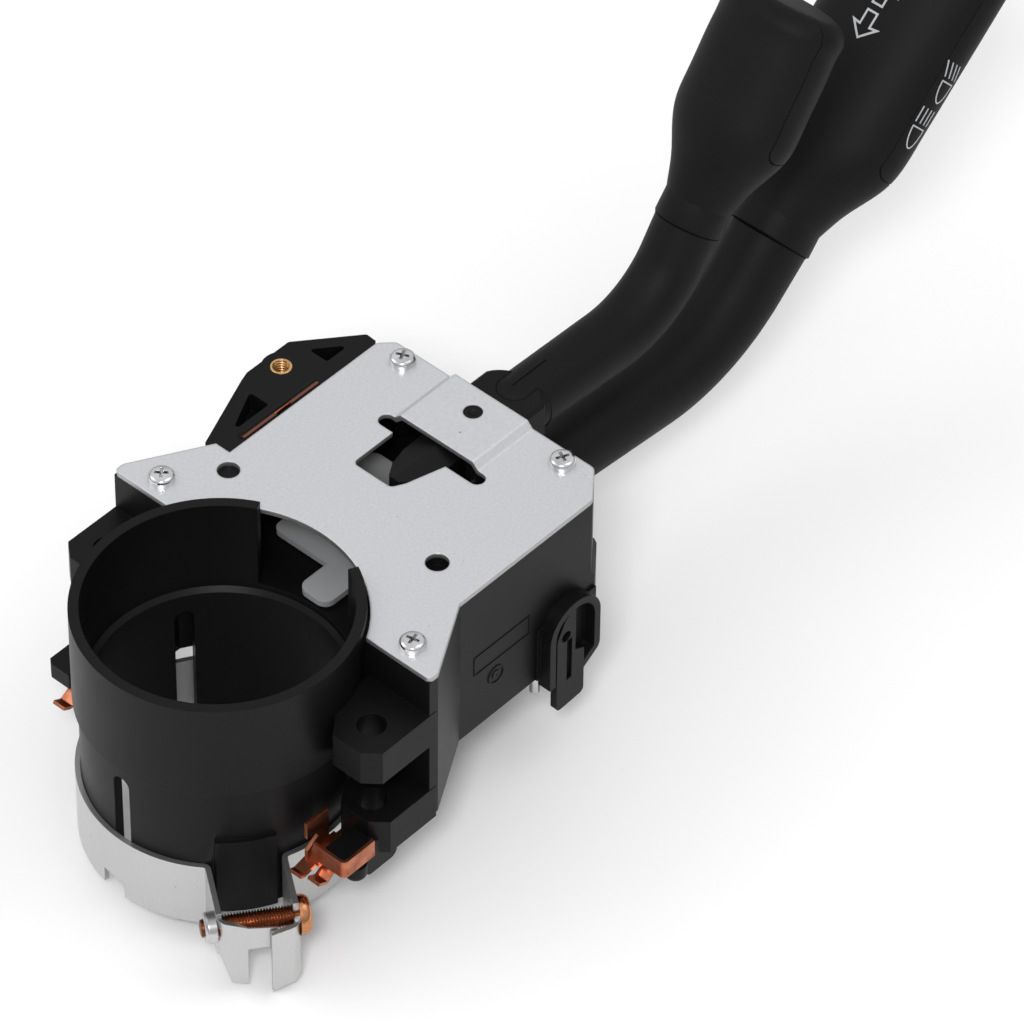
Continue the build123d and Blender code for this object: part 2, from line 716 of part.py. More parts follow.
def cable_guide():
    """Hook that stands on the right wall and turns back to a grooved fin, on a thin base."""
    near = -right_y
    x, z = arch_centre
    middle_r = arch_r - arch_t / 2
    path = FilletPolyline(
        (x - middle_r, arch_low_z), (x - middle_r, z + middle_r), (x + middle_r, z + middle_r),
        (x + middle_r, arch_turn_z), arch_end, radius=(middle_r * 0.98, middle_r * 0.98, 1.6))
    hook = trace(path, line_width=arch_t)
    arch = Pos(0, near, 0) * extrude(Plane.XZ * hook, near - guide_out_y)
    left, middle, right = fin_x
    fin = polygon([(left, z), (left, fin_low_z), (right, fin_low_z + 0.5), (right, fin_step_z),
                   (middle, fin_step_z + 1.5), (middle, z + arch_r - 0.6), (left + 2.5, z + arch_r - 3.2)])
    low = fin.vertices().sort_by(Axis.Y)[0:2]
    fin = fillet(low, 1.4) - Pos(guide_hole[0], guide_hole[1]) * Circle(guide_hole[2])
    plate = Pos(0, guide_out_y + fin_t, 0) * extrude(Plane.XZ * fin, fin_t)
    groove_z = (fin_step_z - 6.0, guide_hole[1] - 1.5)
    plate -= span(guide_groove_x, (guide_out_y - 1, guide_out_y + 0.9), groove_z)
    base = span(guide_base_x, (near - guide_base_t, near), guide_base_z)
    return arch + plate + base


def locating_pin():
    """Round-ended metal pin under the right wall."""
    pin = rod(locating_pin_r, (locating_pin_x, locating_pin_y), *locating_pin_z)
    return fillet(pin.edges().sort_by(Axis.Z)[0], locating_pin_r * 0.7)


def cancel_slide():
    """Pale slide that swings about the lever's axis, with a finger in the collar's window."""
    near, half = lever_y, slide_half_w
    plate = rounded([
        (slide_front_x, near - half), (slide_waist_x, near - half), (slide_waist_x, near + half),
        (slide_front_x, near + half),
    ], 2.0)
    neck = polygon([(slide_waist_x - 1, near - half + 6), (pivot_x, near - slide_hub_r),
                    (pivot_x, near + slide_hub_r), (slide_waist_x - 1, near + half - 6)])
    finger = rounded([(finger_tip_x, finger_y[0]), (slide_front_x + 8, finger_y[0]),
                      (slide_front_x + 8, finger_y[1]), (finger_tip_x, finger_y[1])], 2.6)
    shape = plate + neck + Pos(pivot_x, near) * Circle(slide_hub_r) + finger
    body = slab(shape, slide_top_z - slide_t, slide_top_z)
    body -= rod(slide_boss_r + run_gap, (pivot_x, near), slide_top_z - 6, slide_top_z + 6)
    foot_x, foot_y = detent_foot()
    return body - span((foot_x[0] - 1.5, foot_x[1] + 1.5), (foot_y[0] - 1.5, foot_y[1] + 1.5),
                       (slide_top_z - 6, slide_top_z + 6))


def coil(radius, wire_r, pitch, height):
    """A helical spring standing on height 0."""
    path = Helix(pitch, height, radius)
    start = Plane(origin=path @ 0, z_dir=path % 0)
    return sweep(start * Circle(wire_r), path=path, is_frenet=True)


def cancel_spring():
    """Torsion coil round the boss above the slide."""
    radius = slide_boss_r + cancel_wire_r + 0.3
    low = slide_top_z + cancel_wire_r + 0.05
    return Pos(pivot_x, lever_y, low) * coil(radius, cancel_wire_r, 2 * cancel_wire_r + 0.1, 1.2)


def carrier(axis_z, low_z, high_z, with_nose):
    """Cross block on an upright spindle, which lets its lever swing."""
    half_x, half_y, half_z = block_half
    body = span((pivot_x - half_x, pivot_x + half_x), (lever_y - half_y, lever_y + half_y),
                (axis_z - half_z, axis_z + half_z))
    body = fillet(body.edges().filter_by(Axis.Z), 1.2)
    body += rod(spindle_r, (pivot_x, lever_y), low_z, high_z)
    if with_nose:
        plan = rounded([
            (nose_tip_x, lever_y - nose_tip_w), (nose_tip_x + 4.0, lever_y - nose_half_w + 1.4),
            (nose_tip_x + 9.0, lever_y - nose_half_w), (pivot_x - 10.0, lever_y - nose_half_w),
            (pivot_x - 7.2, lever_y - nose_neck_w), (pivot_x - 1.0, lever_y - nose_neck_w),
            (pivot_x - 1.0, lever_y + nose_neck_w), (pivot_x - 7.2, lever_y + nose_neck_w),
            (pivot_x - 10.0, lever_y + nose_half_w), (nose_tip_x + 9.0, lever_y + nose_half_w),
            (nose_tip_x + 4.0, lever_y + nose_half_w - 1.4), (nose_tip_x, lever_y + nose_tip_w),
        ], 0.9)
        nose = slab(plan, nose_bottom_z, nose_top_z)
        slope = (nose_top_z - nose_edge_z) / nose_half_w
        edge_z = nose_top_z - 9 * slope
        roof = polygon([(lever_y - 9, nose_bottom_z - 9), (lever_y + 9, nose_bottom_z - 9),
                        (lever_y + 9, edge_z), (lever_y, nose_top_z), (lever_y - 9, edge_z)])
        nose &= Pos(nose_tip_x - 5, 0, 0) * extrude(Plane.YZ * roof, 60)
        body += nose
        dimple = Pos(pivot_x, lever_y, high_z + 1.0) * Sphere(1.5)
        body -= dimple
    return body - across(tilt_pin_r, axis_z, 2 * half_y + 2)


def across(radius, axis_z, length):
    """A cylinder along Y at the tilt axis."""
    return Pos(pivot_x, lever_y, axis_z) * Rot(90, 0, 0) * Cylinder(radius, length)


def tilt_pin(axis_z):
    """Cross pin that lets the lever tilt on its carrier."""
    pin = across(tilt_pin_r, axis_z, 2 * root_half_w - 0.6)
    return chamfer(pin.edges().filter_by(GeomType.CIRCLE), 0.3)


def arm_path(axis_z, corner, seam):
    """Centreline of an arm: straight out of the drum, one bend, straight to the seam."""
    start = (arm_start_x, lever_y, axis_z + arm_lift)
    bend = (corner[0], lever_y, corner[1])
    end = (seam[0], lever_y, seam[1])
    return start, bend, end


def lever_arm(axis_z, corner, seam, bend_r, arm_r, neck_r):
    """Round arm that widens a little along its centreline, with a ball-shaped root end."""
    start, bend, end = arm_path(axis_z, corner, seam)
    path = FilletPolyline(start, bend, end, radius=bend_r)
    first = Plane(start, z_dir=Vector(*bend) - Vector(*start)) * Circle(arm_r)
    last = Plane(end, z_dir=Vector(*end) - Vector(*bend)) * Circle(neck_r)
    return sweep([first, last], path=path, multisection=True) + Pos(*start) * Sphere(arm_r)


def lever_root(axis_z, arm):
    """Drum with two cheeks round the carrier, and a socket for the arm."""
    sides = (lever_y - root_half_w, lever_y + root_half_w)
    levels = (axis_z - root_half_h, axis_z + root_half_h)
    body = span((root_near_x, drum_x), sides, levels)
    body += rod(drum_r, (drum_x, lever_y), *levels) & span((root_near_x, drum_x + drum_r), sides, levels)
    near_corners = body.edges().filter_by(Axis.Z).sort_by(Axis.X)[0:2]
    body = fillet(near_corners, 1.4)
    body = chamfer(body.faces().sort_by(Axis.Z)[-1].edges(), root_edge)
    body -= span((root_near_x - 1, cheek_end_x), (lever_y - cheek_gap, lever_y + cheek_gap),
                 (axis_z - 20, axis_z + 20))
    body -= across(tilt_pin_r + run_gap, axis_z, 4 * root_half_w)
    bore_end = plunger_tip_x + plunger_len + detent_spring_len
    body -= Pos((root_near_x - 1 + bore_end) / 2, lever_y + plunger_y, axis_z - plunger_drop) * Rot(
        0, 90, 0) * Cylinder(plunger_r + run_gap, bore_end - root_near_x + 1)
    return body - arm


def plunger(axis_z):
    """Round-nosed detent plunger in the root's cheek."""
    pin = Cylinder(plunger_r, plunger_len)
    pin = fillet(pin.edges().sort_by(Axis.Z)[0], plunger_nose)
    place = Pos(plunger_tip_x + plunger_len / 2, lever_y + plunger_y, axis_z - plunger_drop)
    return place * Rot(0, 90, 0) * pin


def plunger_spring(axis_z):
    """Coil behind the plunger."""
    length = detent_spring_len - 2 * spring_wire_r - 0.2
    start = plunger_tip_x + plunger_len + spring_wire_r + 0.1
    wound = coil(plunger_r - spring_wire_r - 0.1, spring_wire_r, length / 4, length)
    return Pos(start, lever_y + plunger_y, axis_z - plunger_drop) * Rot(0, 90, 0) * wound


def detent_foot():
    """Plan of the foot under a detent block, as ranges of x and y."""
    return (detent_block_x, detent_block_x + 3.5), (lever_y - 15.0, lever_y - 8.0)


def detent_block(axis_z, floor_z):
    """Fixed block with a smooth curved track for the plunger, on a foot that stands on the floor."""
    nose = (pivot_x - plunger_tip_x - plunger_nose, abs(plunger_y) + plunger_r - plunger_nose)
    reach = math.hypot(*nose) + plunger_nose
    middle = axis_z - plunger_drop
    block = span((detent_block_x, pivot_x - 5.0), (lever_y - 15.0, lever_y - 2.0),
                 (middle - detent_block_h / 2, middle + detent_block_h / 2))
    block -= rod(reach + track_gap, (pivot_x, lever_y), middle - 9, middle + 9)
    return block + span(*detent_foot(), (floor_z, middle))


def ease(share):
    """Smooth growth from 0 to 1."""
    share = min(max(share, 0.0), 1.0)
    return share * share * (3 - 2 * share)


def head_solid(seam, rise, length, flare, half_w, half_d, lift, neck_r):
    """Head lofted through ellipses from the round neck to its full section, with a rounded tip."""
    angle = math.radians(rise)
    along = Vector(math.cos(angle), 0, math.sin(angle))
    base = Plane(origin=(seam[0], lever_y, seam[1]), x_dir=(0, 1, 0), z_dir=along)
    count = round(length / section_step)
    rings = []
    for step in range(count + 1):
        reach = step * length / count
        grow = ease((reach - flare[0]) / (flare[1] - flare[0]))
        wide = neck_r + 0.1 + grow * (half_w - neck_r)
        deep = neck_r + 0.1 + grow * (half_d - neck_r)
        rings.append(base.offset(reach) * Pos(0, lift * grow) * Ellipse(wide, deep))
    body = loft(rings)
    tip = body.faces().sort_by(Axis(base.origin, base.z_dir))[-1]
    return fillet(tip.edges(), head_round), base


def head_pieces(body, base, length, pad_start, pad_line):
    """Front shell and back cover of a head, parted along its sides."""
    def tool(gap):
        side = rounded([(pad_start + gap, -40), (pad_start + gap, pad_line - gap),
                        (length + 40, pad_line - gap), (length + 40, -40)], pad_corner_r)
        across_plane = Plane(origin=base.origin - base.x_dir * 40, x_dir=base.z_dir, z_dir=base.x_dir * 1)
        flip = 1 if across_plane.y_dir.dot(base.y_dir) > 0 else -1
        shape = side if flip > 0 else mirror(side, Plane.XZ)
        return extrude(across_plane * shape, 80)
    pegs = Part()
    for share in (0.35, 0.8):
        reach = pad_start + share * (length - pad_start)
        pegs += base.offset(reach) * Pos(0, pad_line - 1) * Rot(-90, 0, 0) * Cylinder(peg_r, 2 * peg_len)
    cover = body & tool(pad_gap / 2)
    front = body - tool(-pad_gap / 2)
    cover = cover + (pegs & (body - tool(pad_gap / 2)))
    return front - pegs, cover


def fused(shape):
    """The single solid of a shape that should have one."""
    solids = shape.solids()
    return solids[0] if len(solids) == 1 else shape


def without_shavings(shape):
    """The largest solid of a shape, without what a cut shaved off beside it."""
    return shape.solids().sort_by(SortBy.VOLUME)[-1]


os.makedirs("parts", exist_ok=True)

save("collar_frame", fused(collar_frame()))
save("switch_housing", fused(switch_housing()))
save("bottom_cover", bottom_cover())
save("cover_screws", cover_screws())
save("connector_inlet", connector_inlet())
save("connector_terminals", terminals())
save("top_plate", top_plate())
save("plate_screws", plate_screws())
save("contact_board", contact_board())
save("side_bracket", side_bracket())
save("threaded_insert", threaded_insert())
save("clamp_band", clamp_band())
save("clamp_screw", clamp_screw())
save("contact_spring_right", contact_spring_right())
save("contact_spring_left", contact_spring_left())
save("cable_guide", cable_guide())
save("locating_pin", locating_pin())
save("cancel_slide", cancel_slide())
save("cancel_spring", cancel_spring())

deck_middle = (deck_top_z + deck_bottom_z) / 2
levers = {
    "upper": (upper_axis_z, upper_corner, upper_seam, upper_bend_r, upper_head_rise, upper_head_len,
              flare_upper, head_half_w_upper, head_half_d_upper, head_lift_upper,
              pad_start_upper, pad_line_upper, arm_r_upper, neck_r_upper,
              deck_middle + 0.1, bridge_rise - 0.3, deck_top_z),
    "lower": (lower_axis_z, lower_corner, lower_seam, lower_bend_r, lower_head_rise, lower_head_len,
              flare_lower, head_half_w_lower, head_half_d_lower, head_lift_lower,
              pad_start_lower, pad_line_lower, arm_r_lower, neck_r_lower,
              housing_bottom_z + 0.4, deck_middle - 0.1, cover_top_z),
}
for name, values in levers.items():
    axis_z, corner, seam, bend_r, rise, head_len = values[:6]
    flare, half_w, half_d, lift, pad_start, pad_line = values[6:12]
    arm_r, neck_r, spindle_low, spindle_high, floor_z = values[12:]
    arm = lever_arm(axis_z, corner, seam, bend_r, arm_r, neck_r)
    head, base = head_solid(seam, rise, head_len, flare, half_w, half_d, lift, neck_r)
    front, cover = head_pieces(head, base, head_len, pad_start, pad_line)
    save(f"{name}_carrier", carrier(axis_z, spindle_low, spindle_high, name == "upper"))
    save(f"{name}_tilt_pin", tilt_pin(axis_z))
    save(f"{name}_root", lever_root(axis_z, arm))
    save(f"{name}_arm", without_shavings(arm - head))
    save(f"{name}_head", fused(front))
    save(f"{name}_back_cover", fused(cover))
    save(f"{name}_plunger", plunger(axis_z))
    save(f"{name}_plunger_spring", plunger_spring(axis_z))
    save(f"{name}_detent_block", detent_block(axis_z, floor_z))
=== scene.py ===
import logging
import math
from collections.abc import Callable, Iterator, Sequence
from contextlib import contextmanager
from dataclasses import dataclass, field
from enum import Enum
from functools import cache

import bmesh
import bpy
from bpy.types import Material, Node, NodeSocket, NodeTree, Object, World
from mathutils import Matrix, Vector


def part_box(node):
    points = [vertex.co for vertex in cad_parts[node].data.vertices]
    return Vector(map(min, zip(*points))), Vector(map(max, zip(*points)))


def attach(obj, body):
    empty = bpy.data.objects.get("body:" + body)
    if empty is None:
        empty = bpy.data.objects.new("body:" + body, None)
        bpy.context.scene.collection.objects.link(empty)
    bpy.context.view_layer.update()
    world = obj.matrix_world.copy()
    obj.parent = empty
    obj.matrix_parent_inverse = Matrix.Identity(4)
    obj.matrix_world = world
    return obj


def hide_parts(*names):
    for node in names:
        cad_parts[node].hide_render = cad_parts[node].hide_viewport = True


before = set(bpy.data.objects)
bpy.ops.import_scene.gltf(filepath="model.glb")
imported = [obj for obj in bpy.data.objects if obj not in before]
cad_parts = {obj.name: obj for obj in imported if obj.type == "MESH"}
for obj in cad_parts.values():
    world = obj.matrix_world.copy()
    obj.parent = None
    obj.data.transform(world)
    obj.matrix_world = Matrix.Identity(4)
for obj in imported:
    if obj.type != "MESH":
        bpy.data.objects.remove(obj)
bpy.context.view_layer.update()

MM = 0.001

logging.basicConfig(level=logging.INFO, format="%(levelname)s %(message)s")
log = logging.getLogger("stalk_switch")

Colour = tuple[float, float, float]
Point = tuple[float, float, float]
Corner = tuple[float, float]
PickTest = Callable[[Vector, Vector], bool]
Shade = Colour | NodeSocket

# A direction's part along an axis, above which it follows the axis and below which it lies across it
FOLLOWS, ACROSS = 0.9, 0.1

# Sockets of a colour mix node
MIX_SHARE, MIX_FIRST, MIX_SECOND, MIX_COLOUR = 0, 6, 7, 2

# Where the levers stand, in millimetres and degrees
LEVER_Y = 0.3
UPPER_SEAM, UPPER_RISE = (148.2, 9.1), 53.5
LOWER_SEAM, LOWER_RISE = (176.4, -13.6), 40.5


class Body(str, Enum):
    """The bodies that carry new pieces, by the frame's names."""

    BASE = "switch_base"
    UPPER_LEVER = "upper_lever"
    LOWER_LEVER = "lower_lever"


class Slot(str, Enum):
    """The record's material slots."""

    HOUSING = "housing_plastic"
    LEVER = "lever_plastic"
    ZINC = "zinc_sheet"
    BAND = "band_sheet"
    STEEL = "steel"
    COPPER = "copper"
    BRASS = "brass"
    BOARD = "board"
    PALE = "pale_plastic"


class Modifier(str, Enum):
    """The modifiers that finish a piece."""

    SCREW = "SCREW"
    BOOLEAN = "BOOLEAN"
    SHRINKWRAP = "SHRINKWRAP"
    SOLIDIFY = "SOLIDIFY"


# ---------------- bench work


def clear_selection() -> None:
    """Leaves edit mode and deselects every object."""
    if bpy.context.mode != "OBJECT":
        bpy.ops.object.mode_set(mode="OBJECT")
    bpy.ops.object.select_all(action="DESELECT")


@contextmanager
def editing(whole: bool = False) -> Iterator[None]:
    """Edit mode for the active piece while the block runs.

    Args:
        whole: Selects all of it first.
    """
    bpy.ops.object.mode_set(mode="EDIT")
    if whole:
        bpy.ops.mesh.select_all(action="SELECT")
    yield
    bpy.ops.object.mode_set(mode="OBJECT")


def hold(piece: Object) -> None:
    """Selects one piece alone and makes it active.

    Args:
        piece: The piece.
    """
    clear_selection()
    piece.select_set(True)
    bpy.context.view_layer.objects.active = piece


def fix_place() -> None:
    """Leaves the active piece's place, turn and size in its mesh."""
    bpy.ops.object.transform_apply(location=True, rotation=True, scale=True)


def name_new(name: str) -> Object:
    """Names the primitive that was just added, and its mesh.

    Args:
        name: The piece's name.

    Returns:
        The new object.
    """
    piece = bpy.context.view_layer.objects.active
    piece.name = name
    piece.data.name = name
    return piece


def pick(piece: Object, kind: str, test: PickTest) -> None:
    """Selects faces or edges of a piece in edit mode.

    Args:
        piece: The piece in edit mode.
        kind: FACE, which is tested by its middle and normal, or EDGE, by its middle and direction.
        test: Says whether one is wanted.
    """
    bpy.ops.mesh.select_mode(type=kind)
    mesh = bmesh.from_edit_mesh(piece.data)
    if kind == "FACE":
        for face in mesh.faces:
            face.select = test(face.calc_center_median(), face.normal)
    else:
        for edge in mesh.edges:
            first, second = (v.co for v in edge.verts)
            edge.select = test((first + second) / 2, (second - first).normalized())
    mesh.select_flush_mode()
    bmesh.update_edit_mesh(piece.data)


def add_modifier(piece: Object, kind: Modifier, **settings: object) -> None:
    """Adds a modifier to a piece and applies it.

    Args:
        piece: The piece to change.
        kind: Which modifier.
        settings: Its values by name.
    """
    hold(piece)
    bpy.ops.object.modifier_add(type=kind.value)
    modifier = piece.modifiers[-1]
    for key, value in settings.items():
        setattr(modifier, key, value)
    bpy.ops.object.modifier_apply(modifier=modifier.name)


def cut_with(piece: Object, tool: Object) -> None:
    """Cuts a piece with a tool and throws the tool away."""
    add_modifier(piece, Modifier.BOOLEAN, operation="DIFFERENCE", solver="EXACT", object=tool)
    bpy.data.objects.remove(tool)


def join_all(pieces: Sequence[Object], name: str) -> Object:
    """Joins pieces into one.

    Args:
        pieces: The pieces, of which the first is kept.
        name: The name of the joined piece.

    Returns:
        The joined piece.
    """
    hold(pieces[0])
    for piece in pieces:
        piece.select_set(True)
    bpy.ops.object.join()
    return name_new(name)


def outward(piece: Object) -> None:
    """Merges doubles and turns every face outwards."""
    hold(piece)
    with editing(whole=True):
        bpy.ops.mesh.remove_doubles(threshold=1e-7)
        bpy.ops.mesh.normals_make_consistent(inside=False)


def round_bar(name: str, radius: float, low: float, high: float, x: float = 0.0, y: float = 0.0,
              sides: int = 48) -> Object:
    """An upright cylinder.

    Args:
        name: The piece's name.
        radius: Its radius.
        low: Height of its foot.
        high: Height of its top.
        x: Where its axis stands.
        y: Where its axis stands.
        sides: Faces round it.

    Returns:
        The cylinder.
    """
    clear_selection()
    bpy.ops.mesh.primitive_cylinder_add(vertices=sides, radius=radius, depth=high - low,
                                        location=(x, y, (low + high) / 2))
    piece = name_new(name)
    fix_place()
    return piece


def box_bar(name: str, size: Point, middle: Point = (0.0, 0.0, 0.0)) -> Object:
    """A square bar.

    Args:
        name: The piece's name.
        size: Lengths of its sides.
        middle: Where its middle stands.

    Returns:
        The bar.
    """
    clear_selection()
    bpy.ops.mesh.primitive_cube_add(size=1.0, location=middle)
    piece = name_new(name)
    piece.scale = size
    fix_place()
    return piece


def flat_outline(name: str, corners: Sequence[Corner]) -> Object:
    """A flat face with the given outline, in the XY plane.

    Args:
        name: The piece's name.
        corners: The outline's corners in order, in metres.

    Returns:
        The face as a new piece.
    """
    clear_selection()
    bpy.ops.mesh.primitive_circle_add(vertices=len(corners), radius=MM, fill_type="NGON")
    piece = name_new(name)
    with editing():
        mesh = bmesh.from_edit_mesh(piece.data)
        mesh.verts.ensure_lookup_table()
        for vert, (x, y) in zip(mesh.verts, corners):
            vert.co = Vector((x, y, 0.0))
        bmesh.update_edit_mesh(piece.data)
    return piece


def turned(name: str, profile: Sequence[Corner], steps: int = 72) -> Object:
    """A ring turned about the Z axis from a closed profile.

    Args:
        name: The piece's name.
        profile: The profile's corners, as radius and height in metres.
        steps: Faces round the ring.

    Returns:
        The ring.
    """
    piece = flat_outline(name, profile)
    put(piece, Matrix.Rotation(math.radians(90), 4, "X"))
    add_modifier(piece, Modifier.SCREW, axis="Z", steps=steps, render_steps=steps, screw_offset=0.0,
                 use_merge_vertices=True, merge_threshold=1e-7, use_smooth_shade=False)
    hold(piece)
    with editing():
        pick(piece, "FACE", lambda centre, normal: abs(centre.y) < 1e-7)
        bpy.ops.mesh.delete(type="FACE")
    outward(piece)
    return piece


def stand_on(place: Point, facing: Point, along: Point = (1.0, 0.0, 0.0)) -> Matrix:
    """The matrix that sets a piece made in the XY plane on a surface.

    Args:
        place: Where its origin goes, in millimetres.
        facing: The surface's normal, which its Z follows.
        along: The direction that its X follows.

    Returns:
        The matrix.
    """
    up = Vector(facing).normalized()
    side = Vector(along) - up * Vector(along).dot(up)
    side.normalize()
    turn = Matrix((side, up.cross(side), up)).transposed().to_4x4()
    return Matrix.Translation(Vector(place) * MM) @ turn


def put(piece: Object, place: Matrix) -> None:
    """Moves a finished piece to its place and leaves that place in its mesh.

    Args:
        piece: The piece, made round the origin.
        place: Where it goes, in the shared frame.
    """
    hold(piece)
    piece.matrix_world = place
    fix_place()


def copy_of(piece: Object, name: str) -> Object:
    """A copy of a piece with a mesh of its own.

    Args:
        piece: The piece.
        name: The name of the copy.

    Returns:
        The copy.
    """
    hold(piece)
    bpy.ops.object.duplicate(linked=False)
    return name_new(name)


def settle(piece: Object, body: Body, finish: "Finish", smooth: float = 35.0,
           replaces: Sequence[str] = ()) -> None:
    """Smooths, dresses and mounts a finished piece, and reports it.

    Args:
        piece: The finished piece.
        body: The moving part that carries it.
        finish: Its finish.
        smooth: Edges sharper than this many degrees stay sharp.
        replaces: CAD nodes that it stands for.
    """
    hold(piece)
    fix_place()
    bpy.ops.object.shade_smooth_by_angle(angle=math.radians(smooth))
    piece.data.materials.clear()
    piece.data.materials.append(finish.material())
    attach(piece, body.value)
    if replaces:
        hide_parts(*replaces)
    log.info("piece %s on %s, %d faces", piece.name, body.value, len(piece.data.polygons))


# ---------------- shader groups


class Effect:
    """A shader node group that is built once and placed in each material that uses it."""

    def __init__(self, name: str, inputs: dict[str, float], outputs: Sequence[str]) -> None:
        """Makes the empty group with its named sockets.

        Args:
            name: The group's name.
            inputs: Input sockets with their first values.
            outputs: Output sockets.
        """
        self.tree = bpy.data.node_groups.new(name, "ShaderNodeTree")
        for key, value in inputs.items():
            socket = self.tree.interface.new_socket(key, in_out="INPUT", socket_type="NodeSocketFloat")
            socket.default_value = value
        for key in outputs:
            self.tree.interface.new_socket(key, in_out="OUTPUT", socket_type="NodeSocketFloat")
        self.entry = self.tree.nodes.new("NodeGroupInput")
        self.exit = self.tree.nodes.new("NodeGroupOutput")

    def node(self, kind: str, **settings: object) -> Node:
        """Adds a node with its settings."""
        return add_node(self.tree, kind, **settings)

    def link(self, source: NodeSocket, target: NodeSocket) -> None:
        """Joins two sockets."""
        self.tree.links.new(source, target)

    def noise(self, scale: NodeSocket | float, detail: float,
              stretch: Point = (1.0, 1.0, 1.0)) -> NodeSocket:
        """A noise over the piece's own coordinates.

        Args:
            scale: Cells for each metre, a number or a socket.
            detail: Octaves.
            stretch: Scale along each axis.

        Returns:
            The noise's value socket.
        """
        mapping = self.node("ShaderNodeMapping")
        mapping.inputs["Scale"].default_value = stretch
        self.link(self.node("ShaderNodeTexCoord").outputs["Object"], mapping.inputs["Vector"])
        noise = self.node("ShaderNodeTexNoise")
        noise.inputs["Detail"].default_value = detail
        if isinstance(scale, float):
            noise.inputs["Scale"].default_value = scale
        else:
            self.link(scale, noise.inputs["Scale"])
        self.link(mapping.outputs["Vector"], noise.inputs["Vector"])
        return noise.outputs["Fac"]

    def band(self, value: NodeSocket, low: float, high: float) -> NodeSocket:
        """A value spread from 0 at low to 1 at high.

        Args:
            value: The value.
            low: What becomes 0.
            high: What becomes 1.

        Returns:
            The new value's socket.
        """
        ramp = self.node("ShaderNodeMapRange")
        ramp.inputs["From Min"].default_value = low
        ramp.inputs["From Max"].default_value = high
        self.link(value, ramp.inputs["Value"])
        return ramp.outputs["Result"]


def add_node(tree: NodeTree, kind: str, **settings: object) -> Node:
    """Adds a node to a tree.

    Args:
        tree: The tree of a material or a group.
        kind: The node's type.
        settings: Its values by name.

    Returns:
        The new node.
    """
    node = tree.nodes.new(kind)
    for key, value in settings.items():
        setattr(node, key, value)
    return node


@cache
def moulded_grain() -> NodeTree:
    """Fine spark-eroded texture of moulded plastic, with a slow change of tone.

    Returns:
        The group.
    """
    effect = Effect("moulded_grain", {"Grains": 2600.0}, ("Height", "Tone"))
    effect.link(effect.noise(effect.entry.outputs["Grains"], 2.0), effect.exit.inputs["Height"])
    effect.link(effect.noise(70.0, 3.0), effect.exit.inputs["Tone"])
    return effect.tree


@cache
def rolled_sheet() -> NodeTree:
    """Fine speckle of plated sheet, with rare dark specks and faint rolling marks.

    Returns:
        The group.
    """
    effect = Effect("rolled_sheet", {"Grains": 1500.0, "Specks": 800.0}, ("Speckle", "Marks", "Rolling"))
    effect.link(effect.noise(effect.entry.outputs["Grains"], 4.0), effect.exit.inputs["Speckle"])
    speck = effect.noise(effect.entry.outputs["Specks"], 1.0)
    effect.link(effect.band(speck, 0.77, 0.81), effect.exit.inputs["Marks"])
    rolling = effect.noise(220.0, 3.0, (1.0, 14.0, 1.0))
    effect.link(rolling, effect.exit.inputs["Rolling"])
    return effect.tree


@cache
def sheared_edge() -> NodeTree:
    """Mask of a sheet's cut edges: 1 where the surface stands across the sheet's face.

    Returns:
        The group.
    """
    effect = Effect("sheared_edge", {"Low": 0.35, "High": 0.7}, ("Edge",))
    split = effect.node("ShaderNodeSeparateXYZ")
    effect.link(effect.node("ShaderNodeTexCoord").outputs["Normal"], split.inputs["Vector"])
    upright = effect.node("ShaderNodeMath", operation="ABSOLUTE")
    effect.link(split.outputs["Z"], upright.inputs[0])
    ramp = effect.node("ShaderNodeMapRange")
    effect.link(upright.outputs["Value"], ramp.inputs["Value"])
    effect.link(effect.entry.outputs["Low"], ramp.inputs["From Min"])
    effect.link(effect.entry.outputs["High"], ramp.inputs["From Max"])
    effect.link(ramp.outputs["Result"], effect.exit.inputs["Edge"])
    return effect.tree


@cache
def tarnish() -> NodeTree:
    """Cloudy darkening of bare metal, with short handling marks.

    Returns:
        The group.
    """
    effect = Effect("tarnish", {"Clouds": 260.0}, ("Cloud", "Scratch"))
    cloud = effect.noise(effect.entry.outputs["Clouds"], 5.0)
    effect.link(effect.band(cloud, 0.35, 0.68), effect.exit.inputs["Cloud"])
    scratch = effect.noise(420.0, 2.0, (1.0, 9.0, 1.0))
    effect.link(effect.band(scratch, 0.62, 0.7), effect.exit.inputs["Scratch"])
    return effect.tree


# ---------------- finishes


@dataclass(frozen=True)
class Finish:
    """What every finish has: a name, a colour and the record's slot."""

    name: str
    colour: Colour
    roughness: float
    slot: Slot

    def material(self) -> Material:
        """The finish's material, made at its first use.

        Returns:
            The material.
        """
        found = bpy.data.materials.get(self.name)
        if found:
            return found
        made = bpy.data.materials.new(self.name)
        made.use_nodes = True
        made.diffuse_color = (*self.colour, 1.0)
        shader = made.node_tree.nodes["Principled BSDF"]
        shader.inputs["Base Color"].default_value = (*self.colour, 1.0)
        shader.inputs["Roughness"].default_value = self.roughness
        self.wire(shader)
        return made

    def wire(self, shader: Node) -> None:
        """Adds this finish's own nodes; a plain finish has none.

        Args:
            shader: The material's shader.
        """

    def vary_gloss(self, shader: Node, value: NodeSocket, less: float, more: float) -> None:
        """Roughness that follows a value from 0 to 1.

        Args:
            shader: The material's shader.
            value: The value.
            less: How far 0 takes it below the finish's roughness.
            more: How far 1 takes it above.
        """
        tree = shader.id_data
        ramp = add_node(tree, "ShaderNodeMapRange")
        ramp.inputs["To Min"].default_value = self.roughness - less
        ramp.inputs["To Max"].default_value = self.roughness + more
        tree.links.new(value, ramp.inputs["Value"])
        tree.links.new(ramp.outputs["Result"], shader.inputs["Roughness"])


